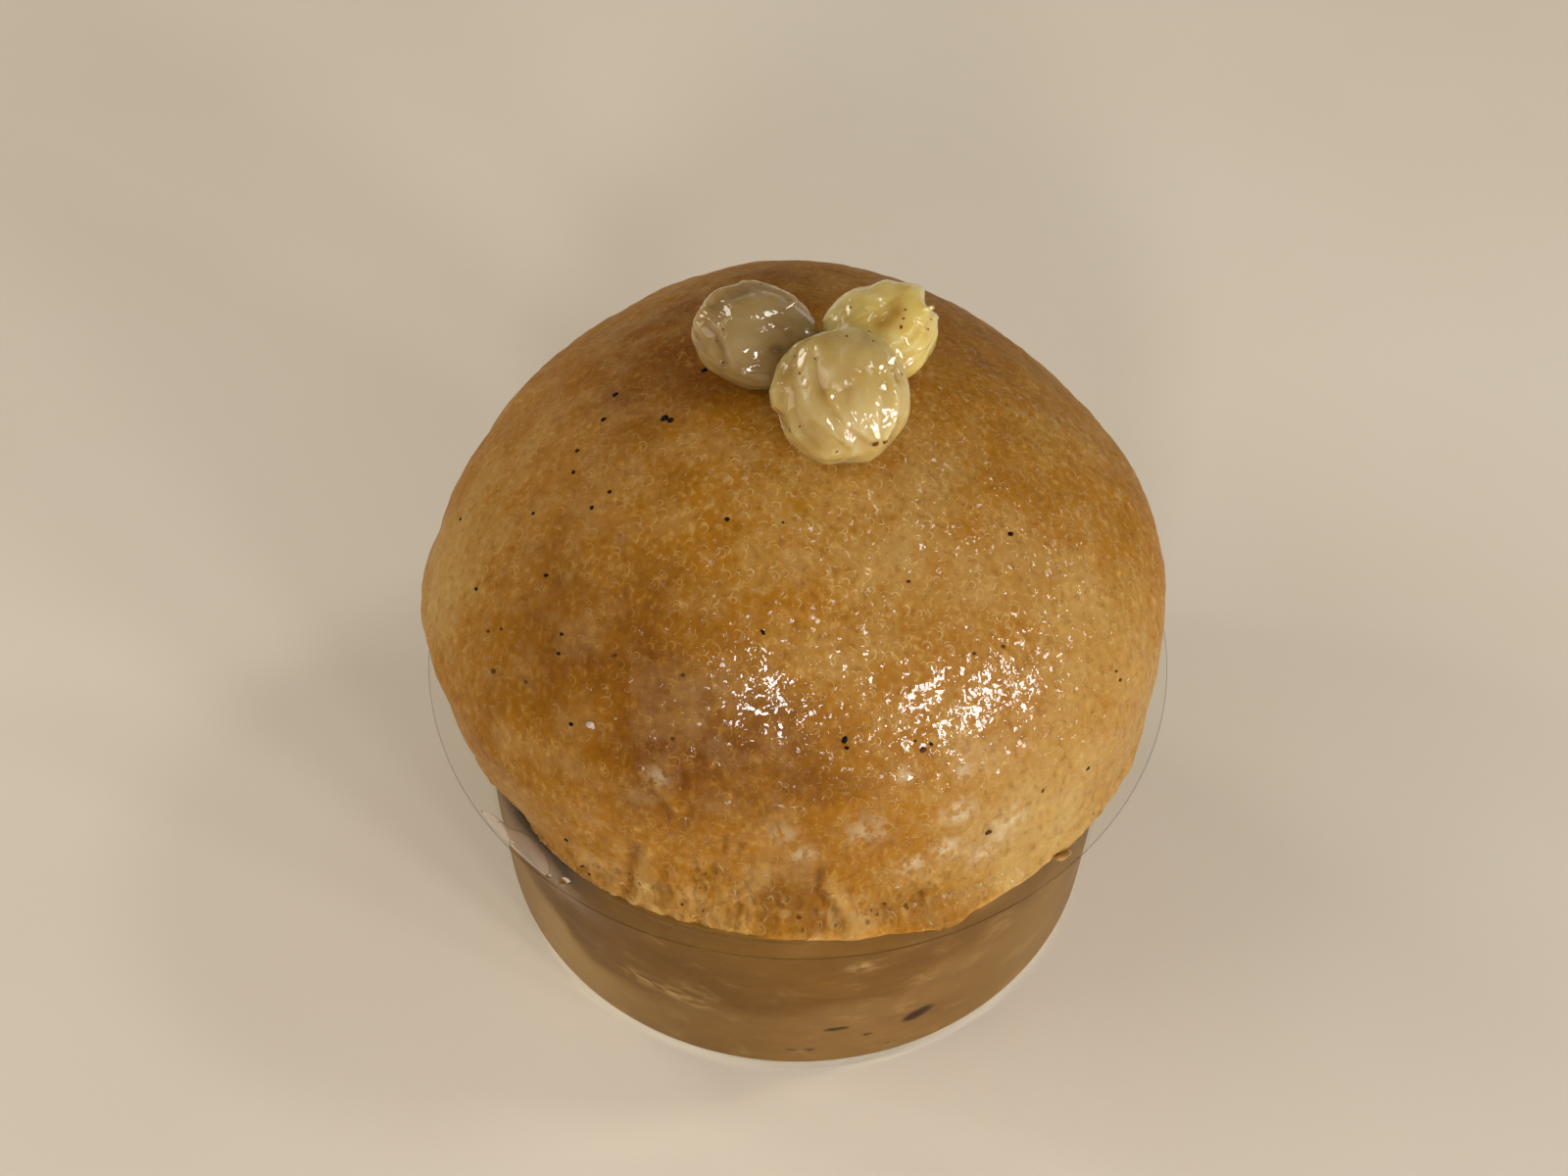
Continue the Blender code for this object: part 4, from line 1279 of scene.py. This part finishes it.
def raisin_piece(name, material):
    """Rings round the raisin's long axis, pole to pole, resting on the crust."""
    spec = RAISINS[name]
    unit = ball(RAISIN_ROWS, RAISIN_COLUMNS)[..., [2, 0, 1]]
    rings, deep, high = raisin_shape(unit, spec)
    rings = pressed_apart(flattened(rings, spec), name)
    floor = crust_top(rings[..., 0], rings[..., 1]) - PRESSED_IN
    rings[..., 2] = np.clip(rings[..., 2], floor, RAISIN_TOP)
    points, faces = closed_turn(rings)
    fields = {"amber_and_painted_shade": np.append(deep, [0.0, 0.0]), "pale_and_painted_light": 0.8 * np.append(high, [0.0, 0.0])}
    return new_piece(name + "_skin", points, faces, material, [name], fields)


# ----------------------------------------------------------- specks and drops
# Specks on the crust: photo pixel, half length and half width (mm), turn (degrees).
BLACK_SPECKS = [
    (678, 427, 0.42, 0.30, 30), (684, 429, 0.36, 0.28, -20), (628, 403, 0.34, 0.26, 10),
    (616, 428, 0.30, 0.24, 0), (589, 460, 0.24, 0.18, 40), (585, 482, 0.24, 0.18, -30),
    (622, 502, 0.24, 0.18, 0), (604, 518, 0.24, 0.18, 60), (544, 524, 0.22, 0.17, 0),
    (470, 530, 0.22, 0.17, 0), (742, 530, 0.28, 0.20, 20), (799, 533, 0.13, 0.11, 0),
    (1031, 545, 0.32, 0.24, 0), (557, 587, 0.26, 0.18, 0), (486, 601, 0.24, 0.18, 0),
    (573, 647, 0.22, 0.17, 0), (570, 667, 0.24, 0.18, 0), (778.5, 645, 0.32, 0.17, -55),
    (862, 755, 0.42, 0.28, 70), (864, 763, 0.24, 0.18, 0), (950, 759, 0.26, 0.18, -30),
    (934, 756, 0.14, 0.12, 0), (1110, 784, 0.30, 0.18, 10), (578, 857, 0.26, 0.20, -30),
    (583, 739, 0.26, 0.20, 0), (691, 365, 0.10, 0.10, 0), (719, 378, 0.34, 0.26, 40),
]
BROWN_SPECKS = [
    (498, 644, 0.22, 0.17, 0), (511.5, 642, 0.20, 0.16, 0), (504, 685, 0.32, 0.26, 0),
    (537, 696, 0.22, 0.18, 0), (627, 669, 0.30, 0.13, 20), (686.5, 754, 0.22, 0.17, 0),
    (697, 689, 0.22, 0.17, 0), (1024, 660, 0.24, 0.17, 0), (994, 667, 0.24, 0.17, 0),
    (1139, 685, 0.22, 0.15, 0), (1143, 694, 0.28, 0.18, 0), (1064, 807, 0.28, 0.14, 70),
    (927, 593.5, 0.24, 0.17, 0), (941.5, 765, 0.34, 0.30, 0), (1008.6, 849, 0.38, 0.34, 0),
    (696, 923, 0.16, 0.13, 0), (714, 906, 0.16, 0.13, 0), (601, 892, 0.24, 0.17, 0),
    (594, 884, 0.20, 0.16, 0), (1078, 871, 0.30, 0.24, 30),
]
PALE_CRUMBS = [(602, 739, 0.46, 0.36, 20), (605, 742, 0.24, 0.2, 0)]
AMBER_CRUMBS = [(1084, 873, 1.0, 0.85, 20)]
RAISIN_SPECKS = {
    "raisin_left": [
        (776, 290, 0.13, 0.11, 0), (738, 336, 0.14, 0.12, 0), (731, 348, 0.13, 0.11, 0),
        (738, 370, 0.14, 0.12, 0),
    ],
    "raisin_right": [
        (868, 314, 0.15, 0.13, 0), (922, 325, 0.15, 0.13, 0), (919.5, 334, 0.16, 0.24, 0),
        (924, 316, 0.16, 0.10, 0), (950, 326, 0.13, 0.11, 0), (947, 336, 0.13, 0.10, 0),
    ],
    "raisin_front": [
        (864, 343, 0.15, 0.13, 0), (887, 338.5, 0.15, 0.14, 0), (891, 348, 0.14, 0.12, 0),
        (832, 366, 0.12, 0.11, 0), (811, 364, 0.32, 0.08, -75), (816, 381, 0.14, 0.13, 0),
        (816, 435, 0.12, 0.11, 0), (806, 439.5, 0.24, 0.09, -45), (854, 461, 0.22, 0.09, 45),
        (893, 453, 0.36, 0.28, 10), (903, 451, 0.28, 0.22, 0), (920, 382, 0.16, 0.11, 30),
    ],
}
SPECK_SUNK = 0.35


def speck_skin(place, normal, half_length, half_width, turn, start):
    """Points and faces of one speck: a flattened ball with an uneven outline, lying along
    the surface and partly sunk in it."""
    unit = ball(7, 12)
    uneven = 1.0 + 0.35 * noise(unit + start, 0.8, 81)
    thick = 0.55 * half_width
    local = unit * [half_length, half_width, thick] * uneven[..., None]
    local[..., 2] += thick * (1.0 - 2.0 * SPECK_SUNK)
    right = np.array(camera_turn())[:, 0]
    up = np.cross(normal, right)
    up /= np.linalg.norm(up)
    right = np.cross(up, normal)
    a = math.radians(turn)
    along = right * math.cos(a) + up * math.sin(a)
    aside = np.cross(normal, along)
    rings = local @ np.stack([along, aside, normal]) + place
    return closed_turn(rings)


def specks_piece(name, specks, host, material, node):
    """All the specks, or drops, of one kind on one host, joined into one mesh."""
    points, faces, count = [], [], 0
    for number, (across, down, half_length, half_width, turn) in enumerate(specks):
        place, normal = seen_at(host, across, down)
        skin, skin_faces = speck_skin(place, normal, half_length, half_width, turn, 3.1 * number)
        points.append(skin)
        faces += [[count + corner for corner in face] for face in skin_faces]
        count += len(skin)
    return new_piece(name, np.concatenate(points), faces, material, [node])


# Syrup on the collar, left of the front: its drops, as the specks are given, and a film
# whose inner edge runs through photo pixels and whose outer edge lies by the rim.
SYRUP_DROPS = [
    (575, 901, 0.80, 0.62, 60), (560, 894.5, 0.34, 0.30, 0), (521.5, 860, 0.28, 0.24, 40),
    (541, 873, 0.16, 0.14, 0), (541.5, 879, 0.14, 0.12, 0), (535, 856, 0.16, 0.13, 0),
    (492, 828, 0.20, 0.12, 60), (509, 839, 0.16, 0.12, 0),
]
FILM_EDGE = [(506, 826), (522, 846), (533, 848), (544, 855), (556, 867), (565, 878), (569, 888)]
FILM_RISE = 0.12


def collar_level(radius):
    """Height of the collar's upper face at a radius, on its straight stretch."""
    slope = (RIM_HEIGHT - WALL_TOP_HEIGHT) / (RIM_RADIUS - WALL_TOP_RADIUS)
    thick = LIP + (SHEET - LIP) * smooth((RIM_RADIUS - radius) * math.hypot(1.0, slope), 0.0, 2.5)
    return WALL_TOP_HEIGHT + slope * (radius - WALL_TOP_RADIUS) + thick * math.hypot(1.0, slope)


def syrup_film(material, host):
    """A low swelling drawn along the collar: each cross-section is a half ellipse over a
    shallow one, from the scalloped inner edge to just inside the rim."""
    edge = np.array([seen_at(host, across, down)[0] for across, down in FILM_EDGE])
    edge_angle = np.arctan2(edge[:, 1], edge[:, 0])
    columns, section = 70, 30
    angle = np.linspace(edge_angle[0], edge_angle[-1], columns)[:, None]
    inner = np.interp(angle, edge_angle, np.hypot(edge[:, 0], edge[:, 1]))
    inner = inner + 0.30 * np.abs(np.sin(75.0 * angle)) ** 0.7 * (0.6 + 0.4 * np.sin(31.0 * angle))
    outer = RIM_RADIUS - 0.45 + 0.0 * angle
    ends = np.linspace(0.0, math.pi, columns)[:, None]
    width = 0.5 * (outer - inner) * np.sin(ends) ** 0.35
    middle = outer - width
    turn = np.linspace(0.0, 2.0 * math.pi, section, endpoint=False)[None]
    radius = middle - width * np.cos(turn)
    rise = np.where(np.sin(turn) > 0.0, FILM_RISE * np.abs(np.sin(turn)) ** 0.5, 0.04 * np.sin(turn))
    height = collar_level(radius) + rise
    points, faces = closed_turn(on_circle(radius, angle, height))
    return new_piece("syrup_film", points, faces, material, ["cup"])


# -------------------------------------------------------------------- stage
LAMP_AIM_HEIGHT = 0.05


def toward_lamp(azimuth, elevation):
    """Unit direction of a lamp: azimuth from the front, + to the right."""
    a, e = math.radians(azimuth), math.radians(elevation)
    return Vector((math.sin(a) * math.cos(e), -math.cos(a) * math.cos(e), math.sin(e)))


def lamp(name, azimuth, elevation, distance, width, height, power, colour):
    """Soft lamp that faces the cake from a direction."""
    light = bpy.data.lights.new(name, "AREA")
    light.shape = "RECTANGLE"
    light.size, light.size_y = width, height
    light.energy = power
    light.color = linear(colour)[:3]
    way = toward_lamp(azimuth, elevation)
    obj = bpy.data.objects.new(name, light)
    obj.location = Vector((0.0, 0.0, LAMP_AIM_HEIGHT)) + way * distance
    obj.rotation_euler = way.to_track_quat("Z", "Y").to_euler()
    bpy.context.scene.collection.objects.link(obj)


def stage():
    """Pale floor, soft lamps, pale surroundings, and the photograph's camera."""
    mesh = bpy.data.meshes.new("floor")
    half = 3.0
    mesh.from_pydata([(-half, -half, 0), (half, -half, 0), (half, half, 0), (-half, half, 0)], [],
                     [(0, 1, 2, 3)])
    mesh.materials.append(plain_floor())
    floor = bpy.data.objects.new("floor", mesh)
    bpy.context.scene.collection.objects.link(floor)

    for name, setting in LAMPS.items():
        lamp(name, *setting)
    world = bpy.data.worlds.new("surroundings")
    world.use_nodes = True
    back = world.node_tree.nodes["Background"]
    back.inputs["Color"].default_value = linear("#EDE8DE")
    back.inputs["Strength"].default_value = 0.27
    bpy.context.scene.world = world

    camera = bpy.data.cameras.new("camera")
    camera.lens = LENS_MM
    camera.sensor_width = SENSOR_MM
    camera.clip_start = 0.01
    eye = bpy.data.objects.new("camera", camera)
    eye.matrix_world = Matrix.Translation(Vector(CAMERA_PLACE) * MM) @ camera_turn().to_4x4()
    bpy.context.scene.collection.objects.link(eye)
    bpy.context.scene.camera = eye
    bpy.context.scene.view_settings.view_transform = "Standard"


def plain_floor():
    """Matt pale board with a hardly visible mottle."""
    material, tree, shader, _ = new_material("matt_pale_board", {"Roughness": 0.7})
    place = add(tree, "ShaderNodeTexCoord").outputs["Object"]
    uneven = grain_noise(tree, place, 60.0, 3.0)
    tree.links.new(mixed(tree, ramp(tree, uneven, 0.3, 0.7), linear("#E8DAC4"), linear("#EEE2CF")),
                   shader.inputs["Base Color"])
    return material


# --------------------------------------------------------------------- main
crust_solid = face_tree(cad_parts["baba"].data)
crust = wet_baked_crust()
stage()
# Clear PET moulded thin and smooth: seen by its dark cut rim and a few soft highlights.
cup = cup_piece(clear("clear_moulded_sheet", "#FAFAF6", "#B4B0AC", 1.0, 0.13))
on_cup = face_tree(cup.data)
# Sugar syrup: its drops bend the light strongly, and its thin film looks slightly milky.
drops = clear("clear_syrup_drop", "#FCF6EE", "#FCF6EE", 1.38, 0.0)
specks_piece("syrup_drops", SYRUP_DROPS, on_cup, drops, "cup")
syrup_film(clear("thin_syrup_film", "#FFFAF4", "#FFFAF4", 1.06, 0.6, 0.86), on_cup)
head = head_piece(crust, crust_solid)
body_piece(syrup_soaked_crumb(), crust_solid)
# Golden raisins differ in how far they have browned and how much syrup they hold.
skins = {
    "raisin_left": raisin_skin("soaked_raisin_grey", "#917542", "#664A1A", "#A69168"),
    "raisin_right": raisin_skin("soaked_raisin_yellow", "#C4A858", "#9E7818", "#D4C284"),
    "raisin_front": raisin_skin("soaked_raisin_pale", "#B29656", "#926C1A", "#CAB888"),
}
# Burnt, toasted and seedy bits of the dough and fruit: small dull specks.
char = plain("charred_speck", "#140A04", 0.6, 0.1)
toasted = plain("toasted_speck", "#5C3210", 0.5, 0.2)
seedy = plain("seed_speck", "#7A4A1A", 0.5, 0.2)
for name, skin in skins.items():
    raisin = raisin_piece(name, skin)
    on_raisin = face_tree(raisin.data)
    specks_piece(name + "_specks", RAISIN_SPECKS[name], on_raisin, seedy, name)
on_crust = face_tree(head.data)
specks_piece("charred_specks", BLACK_SPECKS, on_crust, char, "baba")
specks_piece("toasted_specks", BROWN_SPECKS, on_crust, toasted, "baba")
dry = plain("dry_crumb", "#D2BCA8", 0.6)
soaked = plain("soaked_crumb", "#B48A48", 0.3)
specks_piece("pale_crumb", PALE_CRUMBS, on_crust, dry, "baba")
specks_piece("amber_crumb", AMBER_CRUMBS, on_cup, soaked, "baba")
